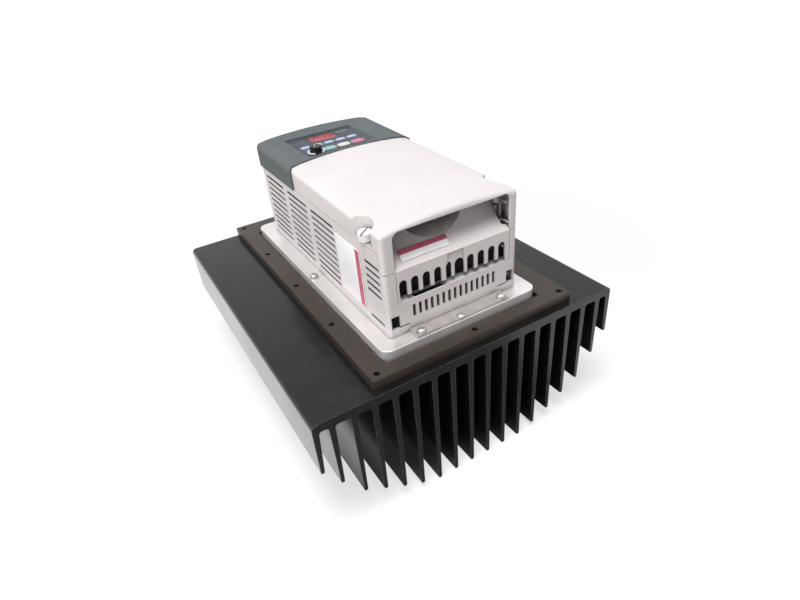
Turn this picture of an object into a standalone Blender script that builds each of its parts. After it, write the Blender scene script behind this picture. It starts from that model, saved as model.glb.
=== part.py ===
"""Compact motor drive on a finned heat sink, with its adapter frame, keypad and wiring guard.

Metres, +Z up. X runs across the drive, Y from the wiring end (-Y) to the keypad end (+Y).
The origin is under the middle of the heat sink, on the plane of its longest fin tips.
"""
from math import cos, degrees, pi, radians, sin

import bmesh
import bpy
from mathutils import Matrix, Vector

# ---------------------------------------------------------------- driving dimensions
gap = 0.0003                    # air left between pieces that touch

# drive body
body_width = 0.130
body_length = 0.260
body_corner = 0.0035
wall = 0.0025
front_height = 0.093            # side edge of the top, above the base plate, at the wiring end
top_slope = 0.02
crown = 0.0044
top_corner = 0.004
seam_drop = 0.0166              # lower edge of the cover and keypad head, below that side edge
ledge_drop = 0.0339             # front lip of the wiring guard, below that side edge
shelf_height = 0.0307           # floor of the wire slots
head_length = 0.0891
head_corner = 0.005
head_overhang = 0.0016          # past the sides and back of the body below it
head_crown = 0.0034

# base plate round the body, adapter frame round the plate, heat sink round the frame
plate_side_margin = 0.01385
plate_front_margin = 0.0135
plate_back_margin = 0.0199
plate_thickness = 0.016
plate_corner = 0.009
plate_edge = 0.0006
pad_thickness = 0.0005
pad_inset = 0.002
frame_clearance = 0.0012
frame_band_left = 0.0176
frame_band_right = 0.0254
frame_band_front = 0.0135
frame_band_back = 0.0294
frame_thickness = 0.0089
frame_hole = 0.0056
frame_hole_margin = 0.0073
frame_holes_across = 3
frame_holes_along = 5
sink_overhang_left = 0.05615
sink_overhang_right = 0.04555
sink_overhang_front = 0.0063
sink_base = 0.008
sink_height = 0.1285
sink_base_crown = 0.0006        # the base is this much thicker under the drive
sink_corner = 0.005
fin_root = 0.0052
fin_tip = 0.0032
fin_fillet = 0.0025
fin_last_pitch = 0.0133         # last inner fin to the outer fin
fin_rises = (0, 0, 0, 0.0055, 0.0143, 0.0245, 0.035, 0.058)   # tips above the middle ones, outward
outer_fin_rise = 0.0782

# cover's mouth and skirt
mouth_edge_left = 0.0103        # from the body's left side
mouth_edge_right = 0.0077
mouth_drop = 0.001              # below the side edge of the top
mouth_corner = 0.006
skirt_depth = 0.0063            # how far the cover's front skirt reaches round the corners

# slots in the housing
vent_height = 0.0026
vent_top_drop = 0.0088          # first row below the seam
vent_low_row = 0.00955
vent_rows = 10
vent_front_zone = 0.0864        # before the long columns
vent_back_margin = 0.0127
vent_column_gap = 0.0107
short_vent_start = 0.0071
short_vent_length = 0.0224
grille_slots = 15
grille_side = 0.0234            # from the body's side to the first slot
grille_width = 0.0028
grille_low = 0.0134
grille_high = 0.0246
back_grille_rise = 0.025
notch_side = 0.0029             # from the body's side
notch_width = 0.0078
notch_low = 0.0075
notch_high = 0.0195
groove_length = 0.009
groove_height = 0.0011

# wiring guard and shelf
guard_wall = 0.0016
guard_band_tilt = radians(45)   # flat band above the ledge
guard_band_length = 0.017
guard_top_tilt = radians(86)    # the hollow above the band, where it meets the cover's lip
guard_lip = 0.0008              # below the mouth's upper edge
guard_end = 0.0052              # the hollow's end, from the guard's right side
guard_end_depth = 0.0042
guard_leg_left = 0.003
guard_leg_right = 0.0045
guard_rail = 0.0016
guard_rail_side = 0.0002        # from the guard's right side
guard_rail_low = 0.0061         # above the ledge
guard_rail_high = 0.0232
guard_rail_reach = 0.0145       # from the body's front
guard_web_place = 0.0078
guard_post_place = 0.0110
finger_width = 0.056
finger_middle = -0.006
finger_depth = 0.009
finger_bend = 2.6               # how square the hollow's section is
finger_tilt = radians(34)
finger_start = 0.0163           # up the band
finger_end = 0.0215             # from the body's front
wire_slots = 10
comb_margin = 0.0038            # both ends of the comb together
comb_shift = -0.0013            # from the mouth's middle
wire_slot_width = 0.0072
wire_slot_drop = 0.0091         # below the ledge
tooth_gap = 0.0046              # above the shelf
latch_recess_depth = 0.0012
latch_recess_side = 0.0013
knockout_lip = 0.0010
knockout_side = 0.0012
shelf_depth = 0.009

# cover screws and their scallops
scallop_radius = 0.0167
scallop_offset = 0.0074         # its axis lies this far outside the cover's side
scallop_place = 0.0284          # from the body's front
scallop_floor = 0.002
cover_screw_radius = 0.0061
cover_screw_inset = 0.0027
cover_screw_height = 0.0074
cover_screw_shank = 0.0018
cover_screw_reach = 0.012

# keypad
panel_width = 0.0756
panel_place = 0.010             # behind the head's front
panel_length = 0.0701
panel_rise = 0.0044             # above the side edge of the top at the wiring end
panel_thickness = 0.0012
trough_depth = 0.0075
trough_side_run = 0.052
trough_back_run = 0.0100
trough_front_run = 0.0138
row_one_x = -0.0297
row_one_place = 0.0319          # rows, knob, display and lens from the panel's front edge
row_one_pitch = 0.0131
small_key = (0.0097, 0.0052)
row_two_x = -0.0107
row_two_place = 0.0142
row_two_pitch = 0.01555
large_key = (0.0127, 0.0082)
key_height = 0.0050
key_stand = 0.0010
key_clearance = 0.00035
knob_x = -0.0262
knob_place = 0.0133
knob_radius = 0.0060
knob_height = 0.0055
knob_shaft = 0.0020
scale_radius = 0.0088
scale_thickness = 0.0006
display_x = -0.0025
display_place = 0.0506
display_size = (0.029, 0.020)
lens_x = 0.0217
lens_place = 0.0548
lens_size = (0.0140, 0.0085)
post_radius = 0.0025
post_inset = 0.0038

# chassis and fasteners
foot_side = 0.018               # from the body's side to the foot
chassis_thickness = 0.0024
inner_clearance = 0.001         # from the housing walls to what lies inside
foot_inset = 0.0008             # from the base plate's ends
plate_screw_inset = 0.0062      # from the foot's side
plate_screw_edge = 0.0045       # from the base plate's end
side_screw_edge = 0.00485       # from the base plate's side
side_screw_place = 0.1312       # from the body's front
screw_shank = 0.0020
screw_head = 0.0036
screw_head_height = 0.0024
washer_radius = 0.0045
washer_thickness = 0.0008
pin_radius = 0.0038
pin_height = 0.0017
pin_x = -0.0024
pin_edge = 0.0034               # from the base plate's end
screw_bite = 0.0055             # thread in the heat sink's base

# labels
label_thickness = 0.0003
side_label_start = 0.0371
side_label_gap = 0.0041         # before the long vents
side_label_low = 0.0104
side_label_drop = 0.0102        # below the seam
guard_label_inset = 0.0089      # from the mouth's left side
guard_label_width = 0.0447
guard_label_start = 0.0059      # up the band
guard_label_height = 0.0093

# electronics
board_thickness = 0.0016
board_drop = 0.0058             # keypad board's top below the panel's face
board_end = 0.006               # from the body's back
module_size = (0.090, 0.090, 0.0150)
module_back = 0.060
can_radius = 0.0165
can_side = 0.0070               # from the housing wall to the outer can
can_back = 0.035
can_headroom = 0.0057
terminal_side = 0.0075
terminal_depth = 0.0222
terminal_drop = 0.0071          # below the ledge
rail_drop = 0.0045              # control board's rails below the seam
rail_height = 0.0035
rail_width = 0.0075
land_size = (0.0105, 0.013, 0.016)
control_front = 0.052
control_end = 0.014
control_terminal_size = (0.062, 0.010, 0.010)
control_terminal_x = -0.011
header_size = (0.020, 0.005)
pot_size = (0.012, 0.012, 0.0065)

# ---------------------------------------------------------------- places worked out from them
half_body = body_width / 2
plate_width = body_width + 2 * plate_side_margin
plate_length = plate_front_margin + body_length + plate_back_margin
frame_width = frame_band_left + plate_width + 2 * frame_clearance + frame_band_right
frame_length = frame_band_front + plate_length + 2 * frame_clearance + frame_band_back
sink_width = sink_overhang_left + frame_width + sink_overhang_right
sink_length = sink_overhang_front + frame_length
fin_pitch = (sink_width - fin_root - 2 * fin_last_pitch) / (2 * len(fin_rises) - 1)
sink_front = -sink_length / 2
sink_top = sink_height
frame_left = -sink_width / 2 + sink_overhang_left
frame_front = sink_front + sink_overhang_front
plate_front = frame_front + frame_band_front + frame_clearance
drive_shift = frame_left + frame_band_left + frame_clearance + plate_width / 2
plate_low = sink_top + gap + pad_thickness + gap
plate_top = plate_low + plate_thickness
plate_back = body_length + plate_back_margin    # from the body's front
body_front = plate_front + plate_front_margin
head_front = body_length - head_length
cover_length = head_front - gap
back_height = front_height + top_slope * body_length
seam_height = front_height - seam_drop
ledge_height = front_height - ledge_drop
mouth_left = half_body - mouth_edge_left
mouth_right = half_body - mouth_edge_right
mouth_top = front_height - mouth_drop
chassis_top = gap + chassis_thickness
foot_half = half_body - foot_side
vent_top_row = seam_height - vent_top_drop
vent_row_pitch = (vent_top_row - vent_low_row) / (vent_rows - 1)
vent_length = (body_length - vent_back_margin - vent_front_zone - 2 * vent_column_gap) / 3
grille_pitch = (body_width - 2 * grille_side - grille_width) / (grille_slots - 1)
wire_slot_pitch = (mouth_left + mouth_right - comb_margin) / wire_slots
comb_middle = (mouth_right - mouth_left) / 2 + comb_shift
wire_slot_top = ledge_height - wire_slot_drop
tooth_tip = shelf_height + tooth_gap
panel_front = head_front + panel_place
panel_height = front_height + panel_rise
key_top = panel_height + key_stand
pocket_floor = panel_height - panel_thickness - gap
head_ceiling = pocket_floor - 0.0022
keypad_board_top = panel_height - board_drop
inside = half_body - wall - inner_clearance
module_top = chassis_top + gap + module_size[2]
power_board_low = module_top + gap
power_board_top = power_board_low + board_thickness
control_board_low = seam_height - rail_drop + gap
control_board_top = control_board_low + board_thickness


# ---------------------------------------------------------------- tools
def start_scene():
    for leftover in list(bpy.data.objects):
        bpy.data.objects.remove(leftover, do_unlink=True)
    made = []
    for name in ("motor_drive_on_heat_sink", "cutters"):
        group = bpy.data.collections.new(name)
        bpy.context.scene.collection.children.link(group)
        made.append(group)
    return made


parts, cutters = start_scene()


def finish(name, colour, roughness=0.5, metallic=0.0):
    material = bpy.data.materials.new(name)
    material.use_nodes = True
    shader = material.node_tree.nodes["Principled BSDF"]
    shader.inputs["Base Color"].default_value = (*colour, 1.0)
    shader.inputs["Roughness"].default_value = roughness
    shader.inputs["Metallic"].default_value = metallic
    return material


black_anodised = finish("black_anodised", (0.035, 0.036, 0.037), 0.45, 0.6)
brown_anodised = finish("brown_anodised", (0.085, 0.072, 0.065), 0.5, 0.5)
bright_aluminium = finish("bright_aluminium", (0.72, 0.70, 0.69), 0.35, 0.9)
warm_white = finish("warm_white_plastic", (0.68, 0.64, 0.62), 0.5)
slate_grey = finish("slate_grey_plastic", (0.14, 0.16, 0.16), 0.5)
zinc = finish("zinc_plated_steel", (0.70, 0.70, 0.68), 0.3, 1.0)
satin_steel = finish("satin_steel", (0.46, 0.44, 0.43), 0.45, 0.8)
board_green = finish("circuit_board", (0.03, 0.16, 0.07), 0.55)
black_plastic = finish("black_plastic", (0.02, 0.02, 0.02), 0.45)
white_plastic = finish("white_plastic", (0.82, 0.82, 0.80), 0.4)
label_white = finish("label_white", (0.85, 0.84, 0.83), 0.55)
thermal_grey = finish("thermal_pad_grey", (0.35, 0.36, 0.37), 0.8)
display_red = finish("display_red", (0.35, 0.03, 0.05), 0.15)
lens_olive = finish("indicator_lens", (0.16, 0.18, 0.12), 0.25)
key_blue = finish("key_blue", (0.52, 0.58, 0.80), 0.45)
key_green = finish("key_green", (0.38, 0.72, 0.58), 0.45)
key_white = finish("key_white", (0.70, 0.72, 0.70), 0.45)
key_red = finish("key_red", (0.78, 0.30, 0.38), 0.45)
panel_blue = finish("panel_blue_grey", (0.10, 0.11, 0.14), 0.45)
can_blue = finish("capacitor_sleeve", (0.05, 0.07, 0.20), 0.35)
terminal_grey = finish("terminal_grey", (0.25, 0.26, 0.26), 0.5)


def empty(name, place):
    frame = bpy.data.objects.new(name, None)
    frame.location = place
    parts.objects.link(frame)
    return frame


drive = empty("drive_frame", (drive_shift, body_front, plate_top))


def add(name, mesh, material, place=(0, 0, 0), parent=None, smooth=None):
    """A finished piece, or a cutter when it has no material."""
    piece = bpy.data.objects.new(name, mesh)
    if material:
        if not mesh.materials:
            mesh.materials.append(material)
        parts.objects.link(piece)
    else:
        cutters.objects.link(piece)
        piece.hide_render = True
        piece.display_type = "WIRE"
    piece.location = place
    piece.parent = parent
    if smooth:
        mesh.shade_smooth()
        mesh.set_sharp_from_angle(angle=radians(smooth))
    return piece


def to_mesh(name, bm):
    bmesh.ops.recalc_face_normals(bm, faces=bm.faces)
    mesh = bpy.data.meshes.new(name)
    bm.to_mesh(mesh)
    bm.free()
    return mesh


def box_into(bm, low, high):
    """One box between two corners, added to a mesh being built."""
    low = Vector(low)
    high = Vector(high)
    size = Matrix.Diagonal((high - low).to_4d())
    size[3][3] = 1
    return bmesh.ops.create_cube(bm, size=1, matrix=Matrix.Translation((low + high) / 2) @ size)


def block(name, low, high, material=None, parent=None, edge=0.0, steps=2):
    """A box whose origin is its middle, with rounded edges when edge is given."""
    middle = (Vector(low) + Vector(high)) / 2
    bm = bmesh.new()
    box_into(bm, Vector(low) - middle, Vector(high) - middle)
    if edge:
        bmesh.ops.bevel(bm, geom=bm.edges[:], offset=edge, segments=steps, affect="EDGES", profile=0.5)
    return add(name, to_mesh(name, bm), material, middle, parent)


def boxes(name, corners, parent=None):
    """A cutter made of several boxes that don't touch."""
    bm = bmesh.new()
    for low, high in corners:
        box_into(bm, low, high)
    return add(name, to_mesh(name, bm), None, (0, 0, 0), parent)


def peg(name, radius, low, high, place, material=None, parent=None, sides=24):
    """A round peg along Z, from low to high above its place."""
    bm = bmesh.new()
    middle = Matrix.Translation((0, 0, (low + high) / 2))
    bmesh.ops.create_cone(bm, cap_ends=True, segments=sides, radius1=radius, radius2=radius,
                          depth=high - low, matrix=middle)
    return add(name, to_mesh(name, bm), material, place, parent, smooth=40)


def arc(centre, radius, start, stop, steps):
    """Points on an arc, both ends included, angles in degrees."""
    points = []
    for step in range(steps + 1):
        angle = radians(start + (stop - start) * step / steps)
        points.append((centre[0] + radius * cos(angle), centre[1] + radius * sin(angle)))
    return points


def rounded_outline(left, low, right, high, radius, steps=4):
    """A rectangle with rounded corners, counter-clockwise."""
    corners = (((right - radius, low + radius), -90), ((right - radius, high - radius), 0),
               ((left + radius, high - radius), 90), ((left + radius, low + radius), 180))
    points = []
    for centre, start in corners:
        points += arc(centre, radius, start, start + 90, steps)
    return points


def rectangle(left, low, right, high):
    return [(left, low), (right, low), (right, high), (left, high)]


def circle(centre, radius, steps=20):
    return arc(centre, radius, 0, 360 - 360 / steps, steps - 1)


def flat_mesh(name, outline, thickness, holes=()):
    """A flat outline with holes, as thick as given about its own plane."""
    curve = bpy.data.curves.new(name, "CURVE")
    curve.dimensions = "2D"
    curve.fill_mode = "BOTH"
    curve.extrude = thickness * 500
    for loop in (outline, *holes):
        spline = curve.splines.new("POLY")
        spline.points.add(len(loop) - 1)
        for point, (across, along) in zip(spline.points, loop):
            point.co = (across * 1000, along * 1000, 0, 1)
        spline.use_cyclic_u = True
        spline.use_smooth = False
    guide = bpy.data.objects.new(name, curve)
    cutters.objects.link(guide)
    seen = guide.evaluated_get(bpy.context.evaluated_depsgraph_get())
    mesh = bpy.data.meshes.new_from_object(seen)
    bm = bmesh.new()
    bm.from_mesh(mesh)
    bmesh.ops.scale(bm, vec=(0.001, 0.001, 0.001), verts=bm.verts)
    bmesh.ops.remove_doubles(bm, verts=bm.verts, dist=0.00001)
    bmesh.ops.recalc_face_normals(bm, faces=bm.faces)
    bm.to_mesh(mesh)
    bm.free()
    mesh.name = name
    bpy.data.objects.remove(guide)
    return mesh


def turned(mesh, matrix):
    mesh.transform(matrix)
    return mesh


def upright(mesh, middle_y):
    """Stands a flat outline up: its second axis becomes Z and its thickness runs along Y."""
    return turned(mesh, Matrix.Translation((0, middle_y, 0)) @ Matrix.Rotation(radians(90), 4, "X"))


def sideways(mesh, middle_x):
    """Stands a flat outline up: its first axis becomes Y, its second Z, its thickness runs along X."""
    turn = Matrix(((0, 0, 1, middle_x), (1, 0, 0, 0), (0, 1, 0, 0), (0, 0, 0, 1)))
    return turned(mesh, turn)


def plank(name, outline, low, thickness, material=None, parent=None, holes=(), edge=0.0, smooth=None):
    """A flat piece lying down, its underside at low."""
    mesh = flat_mesh(name, outline, thickness, holes)
    piece = add(name, mesh, material, (0, 0, low + thickness / 2), parent, smooth)
    if edge:
        soften(piece, edge)
    return piece


def soften(piece, width, steps=2, angle=40):
    bevel = piece.modifiers.new("soft_edges", "BEVEL")
    bevel.width = width
    bevel.segments = steps
    bevel.limit_method = "ANGLE"
    bevel.angle_limit = radians(angle)
    return bevel


def cut(piece, cutter, operation="DIFFERENCE"):
    change = piece.modifiers.new(cutter.name, "BOOLEAN")
    change.operation = operation
    change.object = cutter
    change.solver = "EXACT"


def bake(piece):
    """Keeps the piece's evaluated shape as its mesh, so that copies can share it."""
    seen = piece.evaluated_get(bpy.context.evaluated_depsgraph_get())
    mesh = bpy.data.meshes.new_from_object(seen)
    mesh.name = piece.name
    piece.modifiers.clear()
    piece.data = mesh
    return mesh


def spun(name, profile, place, material, parent=None, steps=24, smooth=40):
    """A turned piece: the profile's (radius, height) points run down its outer side."""
    bm = bmesh.new()
    points = [bm.verts.new((radius, 0, height)) for radius, height in profile]
    for upper, lower in zip(points, points[1:]):
        bm.edges.new((upper, lower))
    mesh = bpy.data.meshes.new(name)
    bm.to_mesh(mesh)
    bm.free()
    piece = add(name, mesh, material, place, parent)
    screw = piece.modifiers.new("turn", "SCREW")
    screw.steps = steps
    screw.render_steps = steps
    screw.use_merge_vertices = True
    screw.merge_threshold = 0.00001
    bpy.context.view_layer.update()
    bake(piece)
    piece.data.shade_smooth()
    piece.data.set_sharp_from_angle(angle=radians(smooth))
    return piece


# ---------------------------------------------------------------- heat sink and adapter frame
def root_arc(across, start, stop):
    """The fillet between a fin and the base, on the base's slightly crowned underside."""
    crown_share = 1 - ((across - drive_shift) / (sink_width / 2)) ** 2
    level = sink_top - sink_base - sink_base_crown * crown_share
    return arc((across, level - fin_fillet), fin_fillet, start, stop, 3)


def fin_outline(middle, rise):
    """The right fillet, the tip and the left fillet of one inner fin, seen from the front."""
    points = root_arc(middle + fin_root / 2 + fin_fillet, 90, 180)
    points += [(middle + fin_tip / 2, rise + fin_tip / 4), (middle + fin_tip / 4, rise)]
    points += [(middle - fin_tip / 4, rise), (middle - fin_tip / 2, rise + fin_tip / 4)]
    return points + root_arc(middle - fin_root / 2 - fin_fillet, 0, 90)


def sink_outline():
    half = sink_width / 2
    inner = half - fin_root
    outline = arc((-half + sink_corner, sink_top - sink_corner), sink_corner, 180, 90, 4)
    outline += arc((half - sink_corner, sink_top - sink_corner), sink_corner, 90, 0, 4)
    tip = [(half, outer_fin_rise + fin_tip / 4), (half - fin_tip / 4, outer_fin_rise)]
    tip += [(half - 3 * fin_tip / 4, outer_fin_rise), (half - fin_tip, outer_fin_rise + fin_tip / 4)]
    outline += tip + root_arc(inner - fin_fillet, 0, 90)
    places = [(place + 0.5) * fin_pitch for place in range(len(fin_rises))]
    fins = list(zip(places, fin_rises))
    for middle, rise in reversed(fins):
        outline += fin_outline(middle, rise)
    for middle, rise in fins:
        outline += fin_outline(-middle, rise)
    outline += root_arc(-inner + fin_fillet, 90, 180)
    outline += [(-across, height) for across, height in reversed(tip)]
    return outline


def plate_screw_places():
    """Across and along places of the six plate screws, from the drive's middle and front."""
    across = foot_half - plate_screw_inset
    places = {}
    for side, sign in (("left", -1), ("right", 1)):
        places["front_" + side] = (sign * across, plate_screw_edge - plate_front_margin)
        places["side_" + side] = (sign * (plate_width / 2 - side_screw_edge), side_screw_place)
        places["back_" + side] = (sign * across, plate_back - plate_screw_edge)
    return places


def screw_cutters(name, radius, low, high):
    bm = bmesh.new()
    for across, along in plate_screw_places().values():
        middle = Matrix.Translation((across, along, (low + high) / 2))
        bmesh.ops.create_cone(bm, cap_ends=True, segments=12, radius1=radius, radius2=radius,
                              depth=high - low, matrix=middle)
    return add(name, to_mesh(name, bm), None, (0, 0, 0), drive)


def build_heatsink():
    mesh = upright(flat_mesh("heatsink", sink_outline(), sink_length), 0)
    sink = add("heatsink", mesh, black_anodised)
    low = sink_top - screw_bite - 0.0010 - plate_top
    cut(sink, screw_cutters("sink_threads", screw_shank + 0.0003, low, 0.001))


def build_frame():
    left = frame_left
    right = left + frame_width
    front = frame_front
    back = front + frame_length
    inner_left = left + frame_band_left
    inner_right = right - frame_band_right
    inner_front = front + frame_band_front
    inner_back = back - frame_band_back
    holes = [rectangle(inner_left, inner_front, inner_right, inner_back)]
    step_across = (frame_width - 2 * frame_hole_margin) / (frame_holes_across - 1)
    step_along = (back - front - 2 * frame_hole_margin) / (frame_holes_along - 1)
    for column in range(frame_holes_across):
        for row in range(frame_holes_along):
            on_side = column in (0, frame_holes_across - 1)
            on_end = row in (0, frame_holes_along - 1)
            if on_side or on_end:
                centre = (left + frame_hole_margin + column * step_across,
                          front + frame_hole_margin + row * step_along)
                holes.append(circle(centre, frame_hole / 2, 16))
    outline = rectangle(left, front, right, back)
    plank("adapter_frame", outline, sink_top + gap, frame_thickness, brown_anodised, holes=holes)


def build_plate():
    half = plate_width / 2
    outline = rounded_outline(-half, -plate_front_margin, half, plate_back, plate_corner, 6)
    low = plate_low - plate_top
    plate = plank("base_plate", outline, low, plate_thickness, bright_aluminium, drive, edge=plate_edge)
    cut(plate, screw_cutters("plate_holes", screw_shank + 0.0003, low - 0.001, 0.001))
    holes = [circle(place, screw_shank + 0.001, 12) for place in plate_screw_places().values()]
    pad = rounded_outline(-half + pad_inset, -plate_front_margin + pad_inset, half - pad_inset,
                          plate_back - pad_inset, plate_corner, 4)
    plank("thermal_pad", pad, low - gap - pad_thickness, pad_thickness, thermal_grey, drive, holes=holes)


def build_plate_screws():
    seat = {"front": chassis_top + gap, "side": gap, "back": chassis_top + gap}
    shared = {}
    for label, (across, along) in plate_screw_places().items():
        kind = label.split("_")[0]
        low = seat[kind]
        if kind not in shared:
            washer = plank("plate_washer_" + label, circle((0, 0), washer_radius, 24), low,
                           washer_thickness, zinc, drive, holes=[circle((0, 0), screw_shank + 0.0003, 16)])
            shaft_low = plate_low - screw_bite - plate_top
            head_low = low + washer_thickness + gap
            head_top = head_low + screw_head_height
            profile = [(0, head_top), (screw_head * 0.62, head_top), (screw_head * 0.92, head_top - 0.0006),
                       (screw_head, head_low + 0.0008), (screw_head, head_low), (screw_shank, head_low),
                       (screw_shank, shaft_low + 0.0005), (screw_shank - 0.0005, shaft_low), (0, shaft_low)]
            screw = spun("plate_screw_" + label, profile, (across, along, 0), zinc, drive, 16)
            slot = block("slot_" + label, (across - 0.005, along - 0.0005, head_top - 0.0011),
                         (across + 0.005, along + 0.0005, head_top + 0.001), None, drive)
            slot.rotation_euler.z = radians(25)
            cut(screw, slot)
            bpy.context.view_layer.update()
            shared[kind] = (washer.data, washer.location.z, bake(screw))
            washer.location = (across, along, washer.location.z)
        else:
            washer_mesh, height, screw_mesh = shared[kind]
            add("plate_washer_" + label, washer_mesh, zinc, (across, along, height), drive)
            add("plate_screw_" + label, screw_mesh, zinc, (across, along, 0), drive)


# ---------------------------------------------------------------- drive body
def top_outline(low, inset=0.0, height=front_height, rise=crown):
    """Front view of the crowned top above low, at the wiring end, or a smaller one inside it."""
    half = half_body - inset
    radius = max(top_corner - inset, 0.0008)
    edge = height - inset
    side = arc((half - radius, edge - radius), radius, 0, 68, 4)
    middle = []
    steps = 14
    first = side[-1][0]
    for step in range(1, steps):
        across = first * (1 - 2 * step / steps)
        middle.append((across, edge - inset * 0.2 + rise * (1 - (across / half_body) ** 2)))
    other = [(-across, level) for across, level in reversed(side)]
    return [(half, low)] + side + middle + other + [(-half, low)]


def slope_top(mesh, above):
    """Raises everything above a level in step with its distance from the wiring end."""
    for corner in mesh.vertices:
        if corner.co.z > above:
            corner.co.z += top_slope * corner.co.y


def shell_block(name, low, front, back, inset, material=None, round_end=None, rise=crown):
    """A crowned solid from front to back; one end's edges are rounded when asked."""
    outline = top_outline(low, inset, rise=rise)
    mesh = upright(flat_mesh(name, outline, back - front), (front + back) / 2)
    slope_top(mesh, low + 0.005)
    if round_end is not None:
        bm = bmesh.new()
        bm.from_mesh(mesh)
        rim = [edge for edge in bm.edges
               if all(abs(corner.co.y - round_end) < 0.0001 for corner in edge.verts)
               and any(corner.co.z > low + 0.0001 for corner in edge.verts)
               and not all(face.normal.y ** 2 > 0.9 for face in edge.link_faces)]
        bmesh.ops.bevel(bm, geom=rim, offset=body_corner, segments=3, affect="EDGES", profile=0.5)
        bm.to_mesh(mesh)
        bm.free()
    return add(name, mesh, material, (0, 0, 0), drive, smooth=30)


def scallop(name, low, high, extra=0.0):
    """Two upright round cutters, one outside each side of the cover."""
    bm = bmesh.new()
    for sign in (-1, 1):
        middle = Matrix.Translation((sign * (half_body + scallop_offset), scallop_place, (low + high) / 2))
        radius = scallop_radius + extra
        bmesh.ops.create_cone(bm, cap_ends=True, segments=40, radius1=radius, radius2=radius,
                              depth=high - low, matrix=middle)
    return add(name, to_mesh(name, bm), None, (0, 0, 0), drive)


def cover_screw_place(sign):
    return (sign * (half_body - cover_screw_inset), scallop_place)


def cover_screw_holes(name, radius, low, high):
    bm = bmesh.new()
    for sign in (-1, 1):
        across, along = cover_screw_place(sign)
        middle = Matrix.Translation((across, along, (low + high) / 2))
        bmesh.ops.create_cone(bm, cap_ends=True, segments=16, radius1=radius, radius2=radius,
                              depth=high - low, matrix=middle)
    return add(name, to_mesh(name, bm), None, (0, 0, 0), drive)


def build_cover():
    over = 0.02
    cover = shell_block("front_cover", ledge_height, 0, cover_length + over, 0, warm_white, 0)
    reach = half_body + 0.0001
    plan = rounded_outline(-reach, -over, reach, cover_length, head_corner - gap, 5)
    cut(cover, plank("cover_plan", plan, ledge_height - over, 0.1, None, drive), "INTERSECT")
    reach = half_body + 0.01
    skirt = boxes("cover_skirt_trim", [((-reach, skirt_depth, ledge_height - over),
                                        (reach, cover_length + 2 * over, seam_height))], drive)
    cut(cover, skirt)
    cavity = shell_block("cover_cavity", ledge_height - over, wall, cover_length - wall, wall)
    cut(cavity, scallop("cover_pocket", ledge_height - 2 * over, back_height, wall))
    cut(cover, cavity)
    floor = seam_height + scallop_floor
    cut(cover, scallop("cover_scallop", floor, back_height + over))
    cut(cover, cover_screw_holes("cover_screw_clearance", cover_screw_shank + 0.0003, 0.06, 0.09))
    opening = rounded_outline(-mouth_left, ledge_height - over, mouth_right, mouth_top, mouth_corner, 5)
    mouth = upright(flat_mesh("cover_mouth", opening, 2 * wall + 0.004), wall - 0.001)
    cut(cover, add("cover_mouth", mouth, None, (0, 0, 0), drive))


def build_cover_screws():
    low = seam_height + scallop_floor + gap
    top = low + cover_screw_height
    shaft_low = seam_height - cover_screw_reach
    profile = [(0, top), (cover_screw_radius - 0.0008, top), (cover_screw_radius, top - 0.0008),
               (cover_screw_radius, low + 0.0004), (cover_screw_radius - 0.0004, low),
               (cover_screw_shank, low), (cover_screw_shank, shaft_low), (0, shaft_low)]
    for side, sign in (("left", -1), ("right", 1)):
        across, along = cover_screw_place(sign)
        name = "cover_screw_" + side
        screw = spun(name, profile, (across, along, 0), white_plastic, drive, 28)
        slot = block(name + "_slot", (across - 0.008, along - 0.0008, top - 0.0022),
                     (across + 0.008, along + 0.0008, top + 0.001), None, drive)
        slot.rotation_euler.z = radians(36)
        cut(screw, slot)


def side_vents():
    """Every slot through both long walls."""
    columns = [(vent_front_zone + step * (vent_length + vent_column_gap), vent_length, range(vent_rows))
               for step in range(3)]
    columns.append((short_vent_start, short_vent_length, (1, 2, 3, 4, 5, 9)))
    corners = []
    for sign in (-1, 1):
        inner = sign * (half_body - wall - 0.002)
        outer = sign * (half_body + 0.002)
        for start, length, rows in columns:
            for row in rows:
                middle = vent_top_row - row * vent_row_pitch
                corners.append(((min(inner, outer), start, middle - vent_height / 2),
                                (max(inner, outer), start + length, middle + vent_height / 2)))
    return boxes("side_vents", corners, drive)


def end_vents():
    """The short grilles in both ends, and the two corner notches with their grooves."""
    corners = []
    for step in range(grille_slots):
        middle = (step - (grille_slots - 1) / 2) * grille_pitch
        for low, high, levels in ((-0.002, wall + 0.002, ((grille_low, grille_high),)),
                                  (body_length - wall - 0.002, body_length + 0.002,
                                   ((grille_low, grille_high),
                                    (grille_low + back_grille_rise, grille_high + back_grille_rise)))):
            for bottom, top in levels:
                corners.append(((middle - grille_width / 2, low, bottom),
                                (middle + grille_width / 2, high, top)))
    notch_outer = half_body - notch_side
    for sign in (-1, 1):
        near = sorted((sign * (notch_outer - notch_width), sign * notch_outer))
        corners.append(((near[0], -0.002, notch_low), (near[1], wall + 0.002, notch_high)))
    return boxes("end_vents", corners, drive)


def corner_grooves():
    """The fine slots that run inward from the feet of the two corner notches."""
    corners = []
    notch_inner = half_body - notch_side - notch_width
    for sign in (-1, 1):
        ends = sorted((sign * (notch_inner + 0.001), sign * (notch_inner - groove_length)))
        corners.append(((ends[0], -0.002, notch_low), (ends[1], wall + 0.0015, notch_low + groove_height)))
    return boxes("corner_grooves", corners, drive)


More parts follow.
